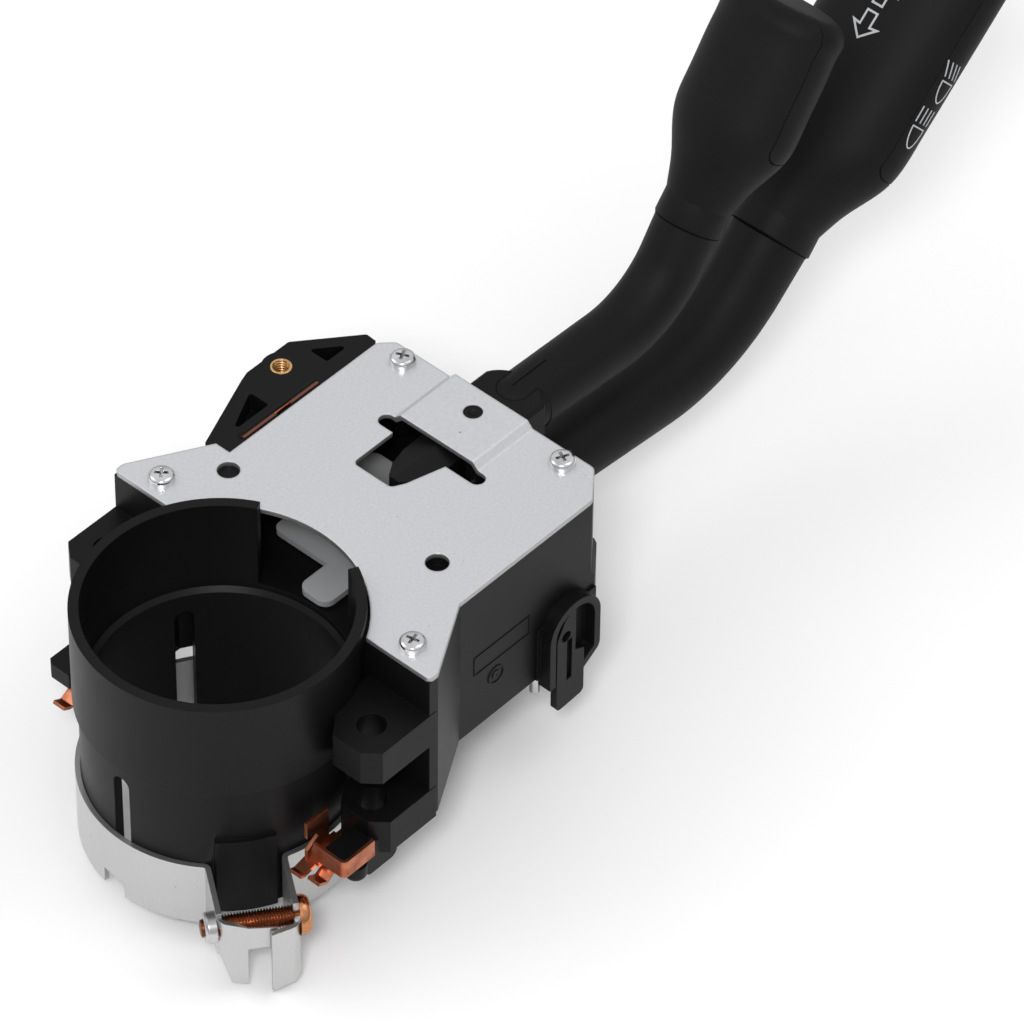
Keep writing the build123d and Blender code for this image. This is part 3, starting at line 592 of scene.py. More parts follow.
def group_node(tree: NodeTree, group: NodeTree, **values: float) -> Node:
    """Places a shader group in a material.

    Args:
        tree: The material's tree.
        group: The group.
        values: Its inputs by name.

    Returns:
        The group's node.
    """
    node = add_node(tree, "ShaderNodeGroup", node_tree=group)
    for key, value in values.items():
        node.inputs[key].default_value = value
    return node


def mixed(share: NodeSocket, first: Shade, second: Shade) -> NodeSocket:
    """A colour between two, by a mask.

    Args:
        share: The mask.
        first: The colour at 0, as numbers or a socket.
        second: The colour at 1, as numbers or a socket.

    Returns:
        The colour's socket.
    """
    tree = share.id_data
    mix = add_node(tree, "ShaderNodeMix", data_type="RGBA")
    tree.links.new(share, mix.inputs[MIX_SHARE])
    for place, shade in ((MIX_FIRST, first), (MIX_SECOND, second)):
        if isinstance(shade, NodeSocket):
            tree.links.new(shade, mix.inputs[place])
        else:
            mix.inputs[place].default_value = (*shade, 1.0)
    return mix.outputs[MIX_COLOUR]


def roughen(shader: Node, height: NodeSocket, depth: float, edge: float = 0.0) -> None:
    """Bump from a height, over edges that are softened by a small radius.

    Args:
        shader: The material's shader.
        height: The height from 0 to 1.
        depth: Depth of the bump in metres.
        edge: Radius of the softened edges in metres, or 0.
    """
    tree = shader.id_data
    bump = add_node(tree, "ShaderNodeBump")
    bump.inputs["Strength"].default_value = 1.0
    bump.inputs["Distance"].default_value = depth
    tree.links.new(height, bump.inputs["Height"])
    if edge:
        soft = add_node(tree, "ShaderNodeBevel", samples=4)
        soft.inputs["Radius"].default_value = edge
        tree.links.new(soft.outputs["Normal"], bump.inputs["Normal"])
    tree.links.new(bump.outputs["Normal"], shader.inputs["Normal"])


@dataclass(frozen=True)
class MouldedPlastic(Finish):
    """Moulded plastic with a fine grain and softened edges."""

    worn: Colour = (0.03, 0.03, 0.031)
    grains: float = 2600.0
    depth: float = 0.00001
    edge: float = 0.00025
    swing: float = 0.06
    mirror: float = 0.3

    def wire(self, shader: Node) -> None:
        """Wires the grain to colour, roughness and bump.

        Args:
            shader: The material's shader.
        """
        tree = shader.id_data
        shader.inputs["Specular IOR Level"].default_value = self.mirror
        grain = group_node(tree, moulded_grain(), Grains=self.grains)
        tone = mixed(grain.outputs["Tone"], self.colour, self.worn)
        tree.links.new(tone, shader.inputs["Base Color"])
        self.vary_gloss(shader, grain.outputs["Tone"], self.swing, self.swing)
        roughen(shader, grain.outputs["Height"], self.depth, self.edge)


@dataclass(frozen=True)
class PlatedSheet(Finish):
    """Plated steel sheet: speckled face and brighter or darker cut edges."""

    fleck: Colour = (0.5, 0.51, 0.53)
    cut: Colour = (0.75, 0.75, 0.75)
    speck: float = 0.45
    metal: float = 0.8
    depth: float = 0.000006
    round_r: float = 0.00018
    swing: float = 0.06
    edges_upright: bool = True

    def wire(self, shader: Node) -> None:
        """Wires the speckle, the specks and the cut edge.

        Args:
            shader: The material's shader.
        """
        tree = shader.id_data
        sheet = group_node(tree, rolled_sheet())
        plain = mixed(sheet.outputs["Speckle"], self.fleck, self.colour)
        dark = tuple(c * self.speck for c in self.fleck)
        face = mixed(sheet.outputs["Marks"], plain, dark)
        ends = (self.cut, face) if self.edges_upright else (face, self.cut)
        edge = group_node(tree, sheared_edge())
        tree.links.new(mixed(edge.outputs["Edge"], *ends), shader.inputs["Base Color"])
        shader.inputs["Metallic"].default_value = self.metal
        self.vary_gloss(shader, sheet.outputs["Rolling"], self.swing, self.swing)
        roughen(shader, sheet.outputs["Speckle"], self.depth, self.round_r)


@dataclass(frozen=True)
class BareMetal(Finish):
    """Bare metal with clouds of tarnish and short handling marks."""

    dull: Colour = (0.3, 0.12, 0.06)
    clouds: float = 260.0
    depth: float = 0.000006
    edge: float = 0.00012
    polish: float = 0.08
    haze: float = 0.1

    def wire(self, shader: Node) -> None:
        """Wires the tarnish to colour and roughness.

        Args:
            shader: The material's shader.
        """
        tree = shader.id_data
        cloud = group_node(tree, tarnish(), Clouds=self.clouds)
        tone = mixed(cloud.outputs["Cloud"], self.colour, self.dull)
        tree.links.new(tone, shader.inputs["Base Color"])
        shader.inputs["Metallic"].default_value = 1.0
        self.vary_gloss(shader, cloud.outputs["Cloud"], self.polish, self.haze)
        roughen(shader, cloud.outputs["Scratch"], self.depth, self.edge)


@dataclass(frozen=True)
class PressedBoard(Finish):
    """Pressed board with fine layers across its thickness."""

    layer: Colour = (0.09, 0.03, 0.018)

    def wire(self, shader: Node) -> None:
        """Wires the layers to the colour.

        Args:
            shader: The material's shader.
        """
        tree = shader.id_data
        wave = add_node(tree, "ShaderNodeTexWave", bands_direction="Y")
        wave.inputs["Scale"].default_value = 900.0
        wave.inputs["Distortion"].default_value = 2.5
        wave.inputs["Detail"].default_value = 2.0
        place = add_node(tree, "ShaderNodeTexCoord")
        tree.links.new(place.outputs["Object"], wave.inputs["Vector"])
        tone = mixed(wave.outputs["Fac"], self.colour, self.layer)
        tree.links.new(tone, shader.inputs["Base Color"])
        roughen(shader, wave.outputs["Fac"], 0.00001)


HOUSING_BLACK = MouldedPlastic("housing_black", (0.0034, 0.0035, 0.0037), 0.42, Slot.HOUSING,
                               worn=(0.0052, 0.0052, 0.0055), mirror=0.14)
LEVER_BLACK = MouldedPlastic("lever_black", (0.0046, 0.0047, 0.0047), 0.56, Slot.LEVER,
                             worn=(0.0062, 0.0063, 0.0063), grains=3400.0, edge=0.0004, mirror=0.13)
# Near-black used for painted shade: the rings in the head seams and the web behind the lower head's pad gap.
# Also used for the dark parting line on the upper arm.
GAP_SHADE_AND_LINE_BLACK = MouldedPlastic("gap_shade_and_line_black", (0.0015, 0.0015, 0.0015), 0.7, Slot.LEVER,
                            worn=(0.002, 0.002, 0.002), edge=0.0, mirror=0.05)
SATIN_ZINC = PlatedSheet("satin_zinc", (0.74, 0.75, 0.77), 0.41, Slot.ZINC, fleck=(0.58, 0.59, 0.61),
                         cut=(0.42, 0.42, 0.43), round_r=0.0006)
BRIGHT_BAND = PlatedSheet("bright_band", (0.57, 0.575, 0.57), 0.32, Slot.BAND, fleck=(0.5, 0.505, 0.5),
                          cut=(0.34, 0.34, 0.345), metal=0.85, depth=0.000002, edges_upright=False)
SCREW_STEEL = BareMetal("screw_steel", (0.74, 0.74, 0.75), 0.17, Slot.STEEL, dull=(0.5, 0.51, 0.52),
                        depth=0.000002)
CONTACT_COPPER = BareMetal("contact_copper", (0.56, 0.21, 0.115), 0.36, Slot.COPPER, dull=(0.34, 0.1, 0.05))
SCREW_BRONZE = BareMetal("screw_bronze", (0.62, 0.29, 0.14), 0.24, Slot.COPPER, dull=(0.4, 0.16, 0.07),
                         depth=0.000001, edge=0.00004)
# Dark bronze for the clamp screw's core, which shows between the thread's ridges: painted shade in the thread's
# grooves.
THREAD_ROOT_SHADE = BareMetal("thread_root_shade", (0.16, 0.055, 0.025), 0.4, Slot.COPPER, dull=(0.08, 0.028, 0.014),
                        depth=0.000001, edge=0.00004)
INSERT_BRASS = BareMetal("insert_brass", (0.72, 0.46, 0.22), 0.28, Slot.BRASS, dull=(0.5, 0.28, 0.11),
                         depth=0.000002)
BROWN_BOARD = PressedBoard("brown_board", (0.16, 0.06, 0.035), 0.45, Slot.BOARD)
PALE_SLIDE = MouldedPlastic("pale_slide", (0.33, 0.335, 0.34), 0.45, Slot.PALE, worn=(0.38, 0.385, 0.39),
                            edge=0.0003)
PRINT_WHITE = MouldedPlastic("print_white", (0.36, 0.37, 0.385), 0.5, Slot.LEVER, worn=(0.46, 0.47, 0.49),
                             edge=0.0)

NODE_FINISHES: dict[Finish, Sequence[str]] = {
    HOUSING_BLACK: ("collar_frame", "switch_housing", "bottom_cover", "connector_inlet", "side_bracket",
                    "cable_guide", "upper_detent_block", "lower_detent_block", "upper_carrier",
                    "lower_carrier"),
    LEVER_BLACK: ("upper_root", "upper_arm", "upper_head", "upper_back_cover", "lower_root", "lower_arm",
                  "lower_head", "lower_back_cover"),
    SATIN_ZINC: ("top_plate",),
    BRIGHT_BAND: ("clamp_band",),
    SCREW_STEEL: ("plate_screws", "cover_screws", "upper_tilt_pin", "lower_tilt_pin", "upper_plunger",
                  "lower_plunger", "upper_plunger_spring", "lower_plunger_spring", "cancel_spring",
                  "locating_pin"),
    CONTACT_COPPER: ("contact_spring_right", "contact_spring_left"),
    SCREW_BRONZE: ("clamp_screw",),
    INSERT_BRASS: ("threaded_insert", "connector_terminals"),
    BROWN_BOARD: ("contact_board",),
    PALE_SLIDE: ("cancel_slide",),
}


def dress_nodes() -> None:
    """Gives every carried-over CAD node its finish."""
    for finish, names in NODE_FINISHES.items():
        for name in names:
            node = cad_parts[name]
            node.data.materials.clear()
            node.data.materials.append(finish.material())
            log.info("node %s in %s", name, finish.name)


# ---------------- screws


@dataclass
class CrossScrew:
    """Domed screw with a cross recess, made round the origin with its head up."""

    head_r: float
    head_h: float
    shank_r: float
    shank_len: float
    dome: float = 0.6
    recess_r: float = 0.62
    recess_w: float = 0.3
    recess_h: float = 0.75
    rim: float = 0.12
    crown: float = 0.06
    taper: float = 0.45
    ridge: float = 0.34
    overlap: float = 0.2 * MM

    def head(self, name: str) -> Object:
        """The head, with its rim rolled over and its recess cut.

        Args:
            name: The piece's name.

        Returns:
            The head.
        """
        near = self.head_h * 0.99
        piece = round_bar(name, self.head_r, 0.0, self.head_h)
        with editing():
            pick(piece, "EDGE", lambda middle, way: middle.z > near)
            bpy.ops.mesh.bevel(offset=self.head_h * self.dome, segments=6, affect="EDGES")
            pick(piece, "FACE", lambda centre, normal: centre.z > near and normal.z > FOLLOWS)
            bpy.ops.mesh.inset(thickness=self.head_r * self.rim)
            bpy.ops.transform.translate(value=(0, 0, self.head_h * self.crown))
        for turn in (0.0, 90.0):
            cut_with(piece, self.recess_tool(turn))
        return piece

    def recess_tool(self, turn: float) -> Object:
        """One arm of the cross, narrower at its foot.

        Args:
            turn: Its direction in degrees.

        Returns:
            The tool.
        """
        depth = self.head_h * self.recess_h
        tool = box_bar("recess_tool", (self.head_r * self.recess_r * 2, self.head_r * self.recess_w,
                                       depth + self.head_h * 0.4), (0.0, 0.0, self.head_h * 1.2 - depth / 2))
        put(tool, Matrix.Rotation(math.radians(turn), 4, "Z"))
        with editing():
            pick(tool, "FACE", lambda centre, normal: normal.z < -FOLLOWS)
            bpy.ops.transform.resize(value=(self.taper, self.taper, 1.0))
        return tool

    def shank(self, name: str) -> Object:
        """The plain shank with a lead-in at its end.

        Args:
            name: The piece's name.

        Returns:
            The shank.
        """
        piece = round_bar(name, self.shank_r, self.overlap - self.shank_len, self.overlap)
        with editing():
            low = -self.shank_len * 0.9
            pick(piece, "EDGE", lambda middle, way: middle.z < low and abs(way.z) < ACROSS)
            bpy.ops.mesh.bevel(offset=self.shank_r * 0.25, segments=2, affect="EDGES")
        return piece

    def thread(self, name: str, crest_r: float, pitch: float, low: float, high: float) -> Object:
        """A helical ridge round the shank, closed at both ends.

        Args:
            name: The piece's name.
            crest_r: Radius over the crests.
            pitch: Pitch.
            low: Height where the ridge starts.
            high: Height where it ends.

        Returns:
            The ridge.
        """
        clear_selection()
        depth = abs(crest_r - self.shank_r)
        bpy.ops.mesh.primitive_circle_add(vertices=4, radius=pitch * self.ridge, fill_type="NGON",
                                          rotation=(math.pi / 2, 0, 0))
        piece = name_new(name)
        fix_place()
        piece.scale = (depth / (pitch * self.ridge), 1, 1)
        piece.location = (self.shank_r, 0, low)
        fix_place()
        turns = max(1, round((high - low) / pitch))
        add_modifier(piece, Modifier.SCREW, axis="Z", steps=28, render_steps=28, iterations=turns,
                     screw_offset=pitch, use_merge_vertices=False, use_smooth_shade=False)
        outward(piece)
        return piece


@dataclass
class PlateScrews:
    """The four screws that hold the top plate."""

    places: tuple[Corner, ...] = ((20.5, -36.0), (20.5, 36.0), (81.3, -23.0), (81.3, 23.0))
    turns: tuple[float, ...] = (12.0, 40.0, 65.0, 25.0)
    form: CrossScrew = field(default_factory=lambda: CrossScrew(2.95 * MM, 1.9 * MM, 1.45 * MM, 9.0 * MM))

    def build(self) -> None:
        """Models one screw and copies it to the other places."""
        screw = join_all([self.form.head("plate_screw_1"), self.form.shank("plate_shank")], "plate_screw_1")
        screws = [screw] + [copy_of(screw, f"plate_screw_{n + 1}") for n in range(1, len(self.places))]
        for piece, (x, y), turn in zip(screws, self.places, self.turns):
            put(piece, Matrix.Translation((x * MM, y * MM, 0)) @ Matrix.Rotation(math.radians(turn), 4, "Z"))
            settle(piece, Body.BASE, SCREW_STEEL, replaces=("plate_screws",))


@dataclass
class ClampScrew:
    """The screw across the clamp's ears, with its thread."""

    reach: float = 42.5 * MM
    height: float = -48.7 * MM
    gap_angle: float = -126.5
    seat: float = 8.7 * MM
    pitch: float = 0.63 * MM
    crest_r: float = 2.42 * MM
    length: float = 20.9 * MM
    form: CrossScrew = field(default_factory=lambda: CrossScrew(
        4.4 * MM, 2.6 * MM, 1.95 * MM, 20.9 * MM, dome=0.7, recess_r=0.58, recess_w=0.22, recess_h=0.9))

    def build(self) -> None:
        """Models the head, core and thread and sets them across the ears."""
        thread = self.form.thread("clamp_thread", self.crest_r, self.pitch, -self.length + 1.0 * MM, -0.7 * MM)
        screw = join_all([self.form.head("clamp_head"), thread], "clamp_screw_turned")
        core = self.form.shank("clamp_screw_shaded_core")
        place = (Matrix.Rotation(math.radians(self.gap_angle), 4, "Z")
                 @ Matrix.Translation((self.reach, self.seat, self.height))
                 @ Matrix.Rotation(math.radians(-90), 4, "X"))
        # The core gets the dark bronze: painted shade in the grooves between the thread's ridges.
        for piece, finish in ((screw, SCREW_BRONZE), (core, THREAD_ROOT_SHADE)):
            put(piece, place)
            settle(piece, Body.BASE, finish, replaces=("clamp_screw",))


# ---------------- levers


@dataclass(frozen=True)
class SurfaceMark:
    """A thin mark laid on a node's surface: where it stands, and what carries it."""

    node: str
    body: Body
    place: Point
    facing: Point
    along: Point
    thickness: float = 0.06 * MM
    lift: float = 0.02 * MM
    height: float = 3.0 * MM
    smooth: float = 25.0

    def bar(self, name: str, start: Corner, length: float, width: float, turn: float = 0.0) -> Object:
        """A straight line of the mark.

        Args:
            name: The piece's name.
            start: The middle of its first end, in the mark's plane.
            length: Its length.
            width: Its width.
            turn: Its direction in degrees from the mark's X.

        Returns:
            The flat line.
        """
        c, s = math.cos(math.radians(turn)), math.sin(math.radians(turn))
        half = width / 2
        corners = [(0, -half), (length, -half), (length, half), (0, half)]
        return self.divided(flat_outline(name, [(start[0] + x * c - y * s, start[1] + x * s + y * c)
                                                for x, y in corners]))

    def loop(self, name: str, corners: Sequence[Corner], width: float) -> Object:
        """A closed line of the mark.

        Args:
            name: The piece's name.
            corners: Its outer outline.
            width: Its width.

        Returns:
            The flat loop.
        """
        piece = flat_outline(name, corners)
        with editing(whole=True):
            bpy.ops.mesh.inset(thickness=width)
            bpy.ops.mesh.delete(type="FACE")
        return self.divided(piece)

    def divided(self, piece: Object) -> Object:
        """Divides a flat line so that it can follow a curved surface.

        Args:
            piece: The line.

        Returns:
            The same line.
        """
        hold(piece)
        with editing(whole=True):
            bpy.ops.mesh.subdivide(number_cuts=3)
        return piece

    def lay(self, parts: Sequence[Object], name: str, finish: Finish) -> None:
        """Joins the lines, wraps them on the surface and thickens them.

        Args:
            parts: The flat lines.
            name: The mark's name.
            finish: Its finish.
        """
        mark = join_all(parts, name)
        hold(mark)
        base = stand_on(self.place, self.facing, self.along)
        mark.matrix_world = base @ Matrix.Translation((0.0, 0.0, self.height))
        bpy.context.view_layer.update()
        add_modifier(mark, Modifier.SHRINKWRAP, target=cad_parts[self.node], wrap_method="PROJECT",
                     use_project_z=True, use_negative_direction=True, use_positive_direction=False,
                     offset=self.lift)
        add_modifier(mark, Modifier.SOLIDIFY, thickness=self.thickness, offset=1.0)
        settle(mark, self.body, finish, smooth=self.smooth)


@dataclass
class LampMark:
    """Pictogram of a lamp with four beams."""

    name: str
    place: Point
    slant: float
    along: Point = (0.743, 0.0, 0.669)
    facing: Point = (-0.08, -0.99, 0.1)
    bowl: float = 5.3 * MM
    half_w: float = 2.25 * MM
    line: float = 0.34 * MM
    beam: float = 3.8 * MM
    start: float = 0.85 * MM
    spacing: float = 1.4 * MM

    def build(self) -> None:
        """Draws the bowl and the beams on the lower head's side pad."""
        mark = SurfaceMark("lower_back_cover", Body.LOWER_LEVER, self.place, self.facing, self.along)
        turns = [math.radians(90 + 180 * n / 18) for n in range(19)]
        bowl = [(self.bowl * math.cos(a), self.half_w * math.sin(a)) for a in turns]
        parts = [mark.loop("lamp_bowl", bowl, self.line)]
        for row in range(4):
            side = (row - 1.5) * self.spacing
            parts.append(mark.bar(f"lamp_beam_{row}", (self.start, side), self.beam, self.line, self.slant))
        mark.lay(parts, self.name, PRINT_WHITE)


@dataclass
class ArrowMark:
    """Outlined block arrow along the lower head."""

    name: str
    flip: bool
    place: Point = (203.84, 0.3, 26.66)
    along: Point = (0.76, 0.0, 0.65)
    facing: Point = (-0.65, 0.0, 0.76)
    head: float = 3.9 * MM
    head_w: float = 3.95 * MM
    notch: float = 3.6 * MM
    shaft_w: float = 1.6 * MM
    length: float = 7.1 * MM
    line: float = 0.5 * MM
    gap: float = 1.4 * MM

    def build(self) -> None:
        """Draws the arrow on the lower head's front."""
        half = [(0.0, 0.0), (self.head, self.head_w), (self.notch, self.shaft_w), (self.length, self.shaft_w)]
        outline = half + [(x, -y) for x, y in reversed(half[1:])]
        if self.flip:
            far = 2 * self.length + self.gap
            outline = [(far - x, y) for x, y in reversed(outline)]
        mark = SurfaceMark("lower_head", Body.LOWER_LEVER, self.place, self.facing, self.along)
        mark.lay([mark.loop("arrow_line", outline, self.line)], self.name, PRINT_WHITE)


def across_head(seam: Corner, rise: float, reach: float = 0.0) -> Matrix:
    """The matrix that sets a piece made in the XY plane across a lever's head.

    Args:
        seam: The middle of the head's seam, as x and z in millimetres.
        rise: The head's rise in degrees.
        reach: Distance from the seam along the head, in millimetres.

    Returns:
        The matrix.
    """
    angle = math.radians(rise)
    way = (math.cos(angle), 0.0, math.sin(angle))
    place = (seam[0] + way[0] * reach, LEVER_Y, seam[1] + way[2] * reach)
    return stand_on(place, way, (0.0, 1.0, 0.0))


@dataclass
class LeverSeams:
    """Lip, and a near-black ring of painted shade in the gap, where a head is pushed over its arm."""

    name: str
    body: Body
    seam: Corner
    rise: float
    neck_r: float
    step: float = 0.26 * MM
    run: float = 6.0 * MM

    def build(self) -> None:
        """Turns the lip and the painted-shade ring and sets them on the seam."""
        place = across_head(self.seam, self.rise)
        inner = self.neck_r - 0.8 * MM
        high = self.neck_r + self.step
        lip = turned(f"{self.name}_head_lip", [
            (inner, 0.0), (high - 0.16 * MM, 0.0), (high - 0.04 * MM, 0.06 * MM), (high, 0.2 * MM),
            (self.neck_r + 0.08 * MM, self.run), (inner, self.run)])
        put(lip, place)
        settle(lip, self.body, LEVER_BLACK)
        # Painted shade: a near-black ring that stands for the shadow in the gap between head and arm.
        line = turned(f"{self.name}_seam_shade_ring", [
            (inner, -0.34 * MM), (self.neck_r + 0.05 * MM, -0.34 * MM), (self.neck_r + 0.07 * MM, 0.02 * MM),
            (inner, 0.02 * MM)])
        put(line, place)
        settle(line, self.body, GAP_SHADE_AND_LINE_BLACK)


@dataclass
class ArmMouldLines:
    """Fine mould lines on the upper arm beside its root."""

    ring_x: float = 96.2
    ring_z: float = -6.85
    ring_r: float = 7.06 * MM
    bead_r: float = 0.13 * MM
    arm_way: Point = (1.0, 0.0, -0.042)
    crown_at: Point = (91.4, 0.25, 2.0)
    crown_way: Point = (1.0, 0.02, 0.0)
    crown_len: float = 11.0 * MM
    crown_w: float = 0.22 * MM

    def build(self) -> None:
        """Adds the ring round the arm and the line along its crown."""
        clear_selection()
        bpy.ops.mesh.primitive_torus_add(major_radius=self.ring_r, minor_radius=self.bead_r,
                                         major_segments=96, minor_segments=8)
        ring = name_new("upper_arm_ring")
        put(ring, stand_on((self.ring_x, LEVER_Y, self.ring_z), self.arm_way, (0.0, 1.0, 0.0)))
        settle(ring, Body.UPPER_LEVER, LEVER_BLACK)
        mark = SurfaceMark("upper_arm", Body.UPPER_LEVER, self.crown_at, (0.0, 0.0, 1.0), self.crown_way,
                           thickness=0.08 * MM)
        mark.lay([mark.bar("crown_line", (0.0, 0.0), self.crown_len, self.crown_w)], "upper_arm_parting_line",
                 GAP_SHADE_AND_LINE_BLACK)


@dataclass
class PadGapShade:
    """Painted shade: a near-black web inside the lower head, behind the gap at its side pad."""

    reach: float = 23.4
    half_w: float = 18.0
    half_d: float = 12.3
    half_t: float = 0.35

    def build(self) -> None:
        """Sets a thin elliptical web across the head."""
        # The web is painted shade: it stands for the shadow inside the head, seen through the pad gap.
        web = round_bar("lower_head_pad_shade_web", MM, -self.half_t * MM, self.half_t * MM, sides=64)
        web.scale = (self.half_w, self.half_d, 1.0)
        fix_place()
        put(web, across_head(LOWER_SEAM, LOWER_RISE, self.reach))
        settle(web, Body.LOWER_LEVER, GAP_SHADE_AND_LINE_BLACK)


# ---------------- housing


@dataclass
class LabelPanel:
    """Framed panel and round mould mark on the right wall, both without lettering."""

    wall_y: float = -35.0
    panel_x: Corner = (40.5, 58.0)
    panel_z: Corner = (-25.6, -20.1)
    line: float = 0.28 * MM
    mark_at: Corner = (47.4, -30.0)
    mark_r: float = 2.5 * MM

    def build(self) -> None:
        """Raises the frame's lines and the round mark on the wall."""
        x = [v * MM for v in self.panel_x]
        z = [v * MM for v in self.panel_z]
        mark = SurfaceMark("switch_housing", Body.BASE, (0.0, self.wall_y, 0.0), (0.0, -1.0, 0.0),
                           (1.0, 0.0, 0.0), thickness=0.14 * MM)
        corners = [(x[0], z[0]), (x[1], z[0]), (x[1], z[1]), (x[0], z[1])]
        mark.lay([mark.loop("panel_line", corners, self.line)], "label_frame", HOUSING_BLACK)
        r = self.mark_r
        ring = turned("mould_mark_rim", [(r - 0.45 * MM, -0.1 * MM), (r, -0.1 * MM), (r - 0.08 * MM, 0.22 * MM),
                                         (r - 0.37 * MM, 0.22 * MM)], steps=40)
        hub = turned("mould_mark_hub", [(0.12 * MM, -0.1 * MM), (1.25 * MM, -0.1 * MM), (1.15 * MM, 0.2 * MM),
                                        (0.5 * MM, 0.26 * MM), (0.12 * MM, 0.12 * MM)], steps=40)
        disc = join_all([ring, hub], "mould_mark")
        put(disc, stand_on((self.mark_at[0], self.wall_y, self.mark_at[1]), (0.0, -1.0, 0.0)))
        settle(disc, Body.BASE, HOUSING_BLACK)


@dataclass
class HoleCups:
    """Black locating cups against the plate's underside, under its two round holes."""

    places: tuple[Corner, ...] = ((41.6, -23.5), (32.0, 27.5))
    radius: float = 3.4 * MM
    wall: float = 0.9 * MM
    top: float = -1.21 * MM
    height: float = 3.4 * MM
    depth: float = 2.1 * MM
    rounding: float = 0.4 * MM

    def build(self) -> None:
        """Adds the cups, each with its hollow and a rounded foot."""
        for number, (x, y) in enumerate(self.places, 1):
            cup = round_bar(f"hole_cup_{number}", self.radius, self.top - self.height, self.top, x * MM, y * MM)
            with editing():
                foot = self.top - self.height / 2
                pick(cup, "EDGE", lambda middle, way: middle.z < foot and abs(way.z) < ACROSS)
                bpy.ops.mesh.bevel(offset=self.rounding, segments=3, affect="EDGES")
                pick(cup, "FACE", lambda centre, normal: normal.z > FOLLOWS)
                bpy.ops.mesh.inset(thickness=self.wall)
                bpy.ops.transform.translate(value=(0.0, 0.0, -self.depth))
            settle(cup, Body.BASE, HOUSING_BLACK)


@dataclass
class BoardEdge:
    """Lip of the bracket over the contact board's edge, and the contact that shows in its notch."""

    lip_x: Corner = (42.9, 66.1)
    board_top: float = -2.2
    lip_h: float = 0.35
    cover: float = 0.85
    contact_x: Corner = (52.6, 57.4)
    contact_w: float = 0.45
    rounding: float = 0.1 * MM

    def build(self) -> None:
        """Adds the lip and the contact as bevelled strips."""
        low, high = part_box("contact_board")
        outer = high[1] / MM
        self.strip("board_lip", (self.lip_x, (outer - self.cover, outer + 0.2),
                                 (self.board_top + 0.01, self.board_top + self.lip_h)), HOUSING_BLACK)
        inner = low[1] / MM
        self.strip("board_contact", (self.contact_x, (inner + 0.25, inner + 0.25 + self.contact_w),
                                     (self.board_top - 1.0, self.board_top + 0.1)), CONTACT_COPPER)

    def strip(self, name: str, sides: tuple[Corner, Corner, Corner], finish: Finish) -> None:
        """A bevelled bar between ranges of x, y and z in millimetres.

        Args:
            name: The piece's name.
            sides: Its ranges.
            finish: Its finish.
        """
        piece = box_bar(name, [(b - a) * MM for a, b in sides], [(a + b) / 2 * MM for a, b in sides])
        with editing(whole=True):
            bpy.ops.mesh.bevel(offset=self.rounding, segments=2, affect="EDGES")
        settle(piece, Body.BASE, finish)


@dataclass
class ThreadedInsert:
    """Brass insert with its thread, in the side bracket."""

    place: Point = (64.5, 43.0, 0.0)
    outer_r: float = 2.5 * MM
    bore_r: float = 1.85 * MM
    crest_r: float = 1.65 * MM
    top: float = -2.52 * MM
    length: float = 6.9 * MM
    pitch: float = 0.7 * MM

    def build(self) -> None:
        """Turns the sleeve and winds the thread in its bore."""
        low = self.top - self.length
        sleeve = turned("insert_sleeve", [
            (self.bore_r, low), (self.outer_r - 0.02 * MM, low), (self.outer_r - 0.02 * MM, self.top - 0.1 * MM),
            (self.outer_r - 0.15 * MM, self.top), (self.bore_r + 0.12 * MM, self.top),
            (self.bore_r, self.top - 0.15 * MM)], steps=48)
        form = CrossScrew(self.outer_r, 1.0 * MM, self.bore_r, self.length)
        ridge = form.thread("insert_thread", self.crest_r, self.pitch, low + 0.5 * MM, self.top - 0.4 * MM)
        insert = join_all([sleeve, ridge], "insert_with_thread")
        put(insert, Matrix.Translation(Vector(self.place) * MM))
        settle(insert, Body.BASE, INSERT_BRASS, replaces=("threaded_insert",))


# ---------------- studio


@dataclass(frozen=True)
class PhotographView:
    """The photograph's camera: its direction, its distance and its lens."""

    azimuth: float = 41.54
    elevation: float = 44.92
    roll: float = 0.76
    offset: Point = (-0.0609, -0.0209, 1.4515)
    focal_px: float = 7014.0
    image_px: float = 1024.0
    sensor: float = 36.0

    def axes(self) -> tuple[Vector, Vector, Vector]:
        """The camera's right, up and forward directions in the shared frame.

        Returns:
            The three directions.
        """
        turn, rise, roll = (math.radians(a) for a in (self.azimuth, self.elevation, self.roll))
        forward = Vector((math.cos(turn) * math.cos(rise), math.sin(turn) * math.cos(rise), -math.sin(rise)))
        level = Vector((math.sin(turn), -math.cos(turn), 0.0))
        upright = level.cross(forward)
        right = math.cos(roll) * level + math.sin(roll) * upright
        up = -math.sin(roll) * level + math.cos(roll) * upright
        return right, up, forward

    def build(self) -> None:
        """Adds the camera and makes it the scene's."""
        right, up, forward = self.axes()
        rows = Matrix((right, up, forward))
        data = bpy.data.cameras.new("photograph_camera")
        data.sensor_width = self.sensor
        data.lens = self.focal_px / self.image_px * self.sensor
        data.clip_start, data.clip_end = 0.05, 20.0
        camera = bpy.data.objects.new("photograph_camera", data)
        bpy.context.scene.collection.objects.link(camera)
        turn = Matrix((right, up, -forward)).transposed().to_4x4()
        camera.matrix_world = Matrix.Translation(-(rows.transposed() @ Vector(self.offset))) @ turn
        bpy.context.scene.camera = camera


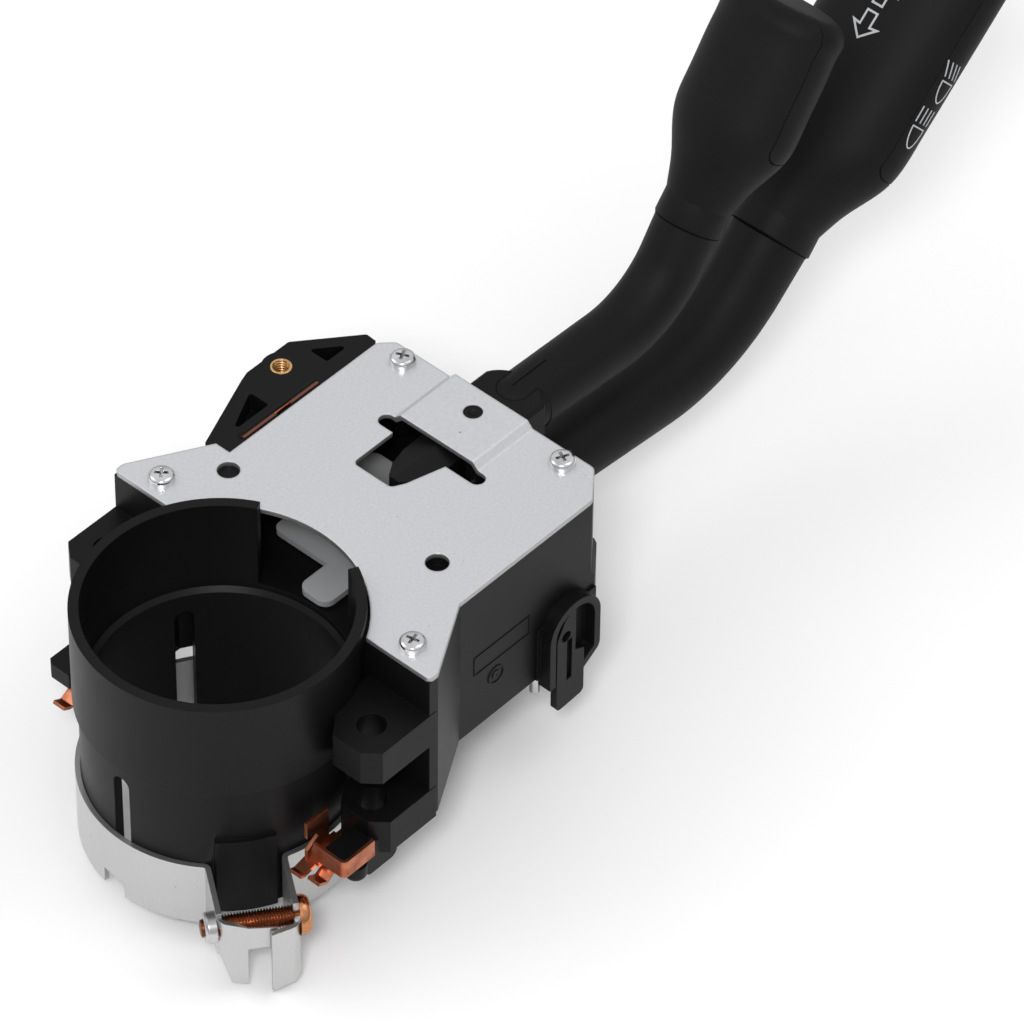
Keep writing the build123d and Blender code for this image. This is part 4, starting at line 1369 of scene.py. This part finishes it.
@dataclass
class Studio:
    """Pale floor, even surround and soft lamps."""

    floor_z: float = -0.0675
    floor_half: float = 4.0
    overhead: float = 0.8
    horizon: float = 0.3
    aim: Point = (0.08, 0.0, 0.0)
    lamps: tuple[tuple[str, Point, float, float], ...] = (
        ("key_lamp", (-0.84, -0.66, 1.2), 0.3, 11.0),
        ("fill_lamp", (-0.6, 0.9, 0.9), 0.9, 3.0),
        ("rim_lamp", (0.5, -0.5, 1.2), 0.8, 2.0),
    )

    def build(self) -> None:
        """Adds the floor, the surround and the lamps."""
        clear_selection()
        bpy.ops.mesh.primitive_plane_add(size=2 * self.floor_half, location=(0, 0, self.floor_z))
        floor = name_new("studio_floor")
        fix_place()
        floor.data.materials.append(self.floor_material())
        bpy.context.scene.world = self.surround()
        bpy.context.scene.view_settings.view_transform = "Standard"
        for name, place, size, power in self.lamps:
            self.lamp(name, place, size, power)

    def surround(self) -> World:
        """The studio's even light, bright overhead and dim towards the horizon.

        Returns:
            The world.
        """
        world = bpy.data.worlds.new("studio_surround")
        world.use_nodes = True
        tree = world.node_tree
        split = add_node(tree, "ShaderNodeSeparateXYZ")
        tree.links.new(add_node(tree, "ShaderNodeTexCoord").outputs["Generated"], split.inputs["Vector"])
        rise = add_node(tree, "ShaderNodeMapRange", interpolation_type="SMOOTHSTEP")
        rise.inputs["From Max"].default_value = 0.6
        rise.inputs["To Min"].default_value = self.horizon
        rise.inputs["To Max"].default_value = self.overhead
        tree.links.new(split.outputs["Z"], rise.inputs["Value"])
        tree.links.new(rise.outputs["Result"], tree.nodes["Background"].inputs["Strength"])
        tree.nodes["Background"].inputs["Color"].default_value = (1.0, 1.0, 1.0, 1.0)
        return world

    def floor_material(self) -> Material:
        """Matt white floor.

        Returns:
            The floor's material.
        """
        made = bpy.data.materials.new("studio_white")
        made.use_nodes = True
        shader = made.node_tree.nodes["Principled BSDF"]
        shader.inputs["Base Color"].default_value = (0.93, 0.93, 0.93, 1.0)
        shader.inputs["Roughness"].default_value = 0.9
        return made

    def lamp(self, name: str, place: Point, size: float, power: float) -> None:
        """Adds a soft lamp that looks at the switch.

        Args:
            name: The lamp's name.
            place: Where it stands.
            size: Width of its panel.
            power: Power in watts.
        """
        data = bpy.data.lights.new(name, "AREA")
        data.size = size
        data.energy = power
        lamp = bpy.data.objects.new(name, data)
        bpy.context.scene.collection.objects.link(lamp)
        lamp.location = place
        lamp.rotation_mode = "QUATERNION"
        lamp.rotation_quaternion = (Vector(self.aim) - Vector(place)).to_track_quat("-Z", "Y")


def main() -> None:
    """Builds every sub-assembly in order."""
    PhotographView().build()
    Studio().build()
    dress_nodes()
    PlateScrews().build()
    ClampScrew().build()
    LeverSeams("upper", Body.UPPER_LEVER, UPPER_SEAM, UPPER_RISE, 7.7 * MM).build()
    LeverSeams("lower", Body.LOWER_LEVER, LOWER_SEAM, LOWER_RISE, 9.7 * MM, step=0.45 * MM).build()
    LampMark("lamp_main_beam", (203.78, -18.4, 11.87), 0.0).build()
    LampMark("lamp_dipped_beam", (213.03, -18.5, 19.03), 20.0).build()
    ArrowMark("arrow_towards_root", False).build()
    ArrowMark("arrow_towards_tip", True).build()
    ArmMouldLines().build()
    PadGapShade().build()
    HoleCups().build()
    LabelPanel().build()
    ThreadedInsert().build()
    BoardEdge().build()


if __name__ == "__main__":
    main()
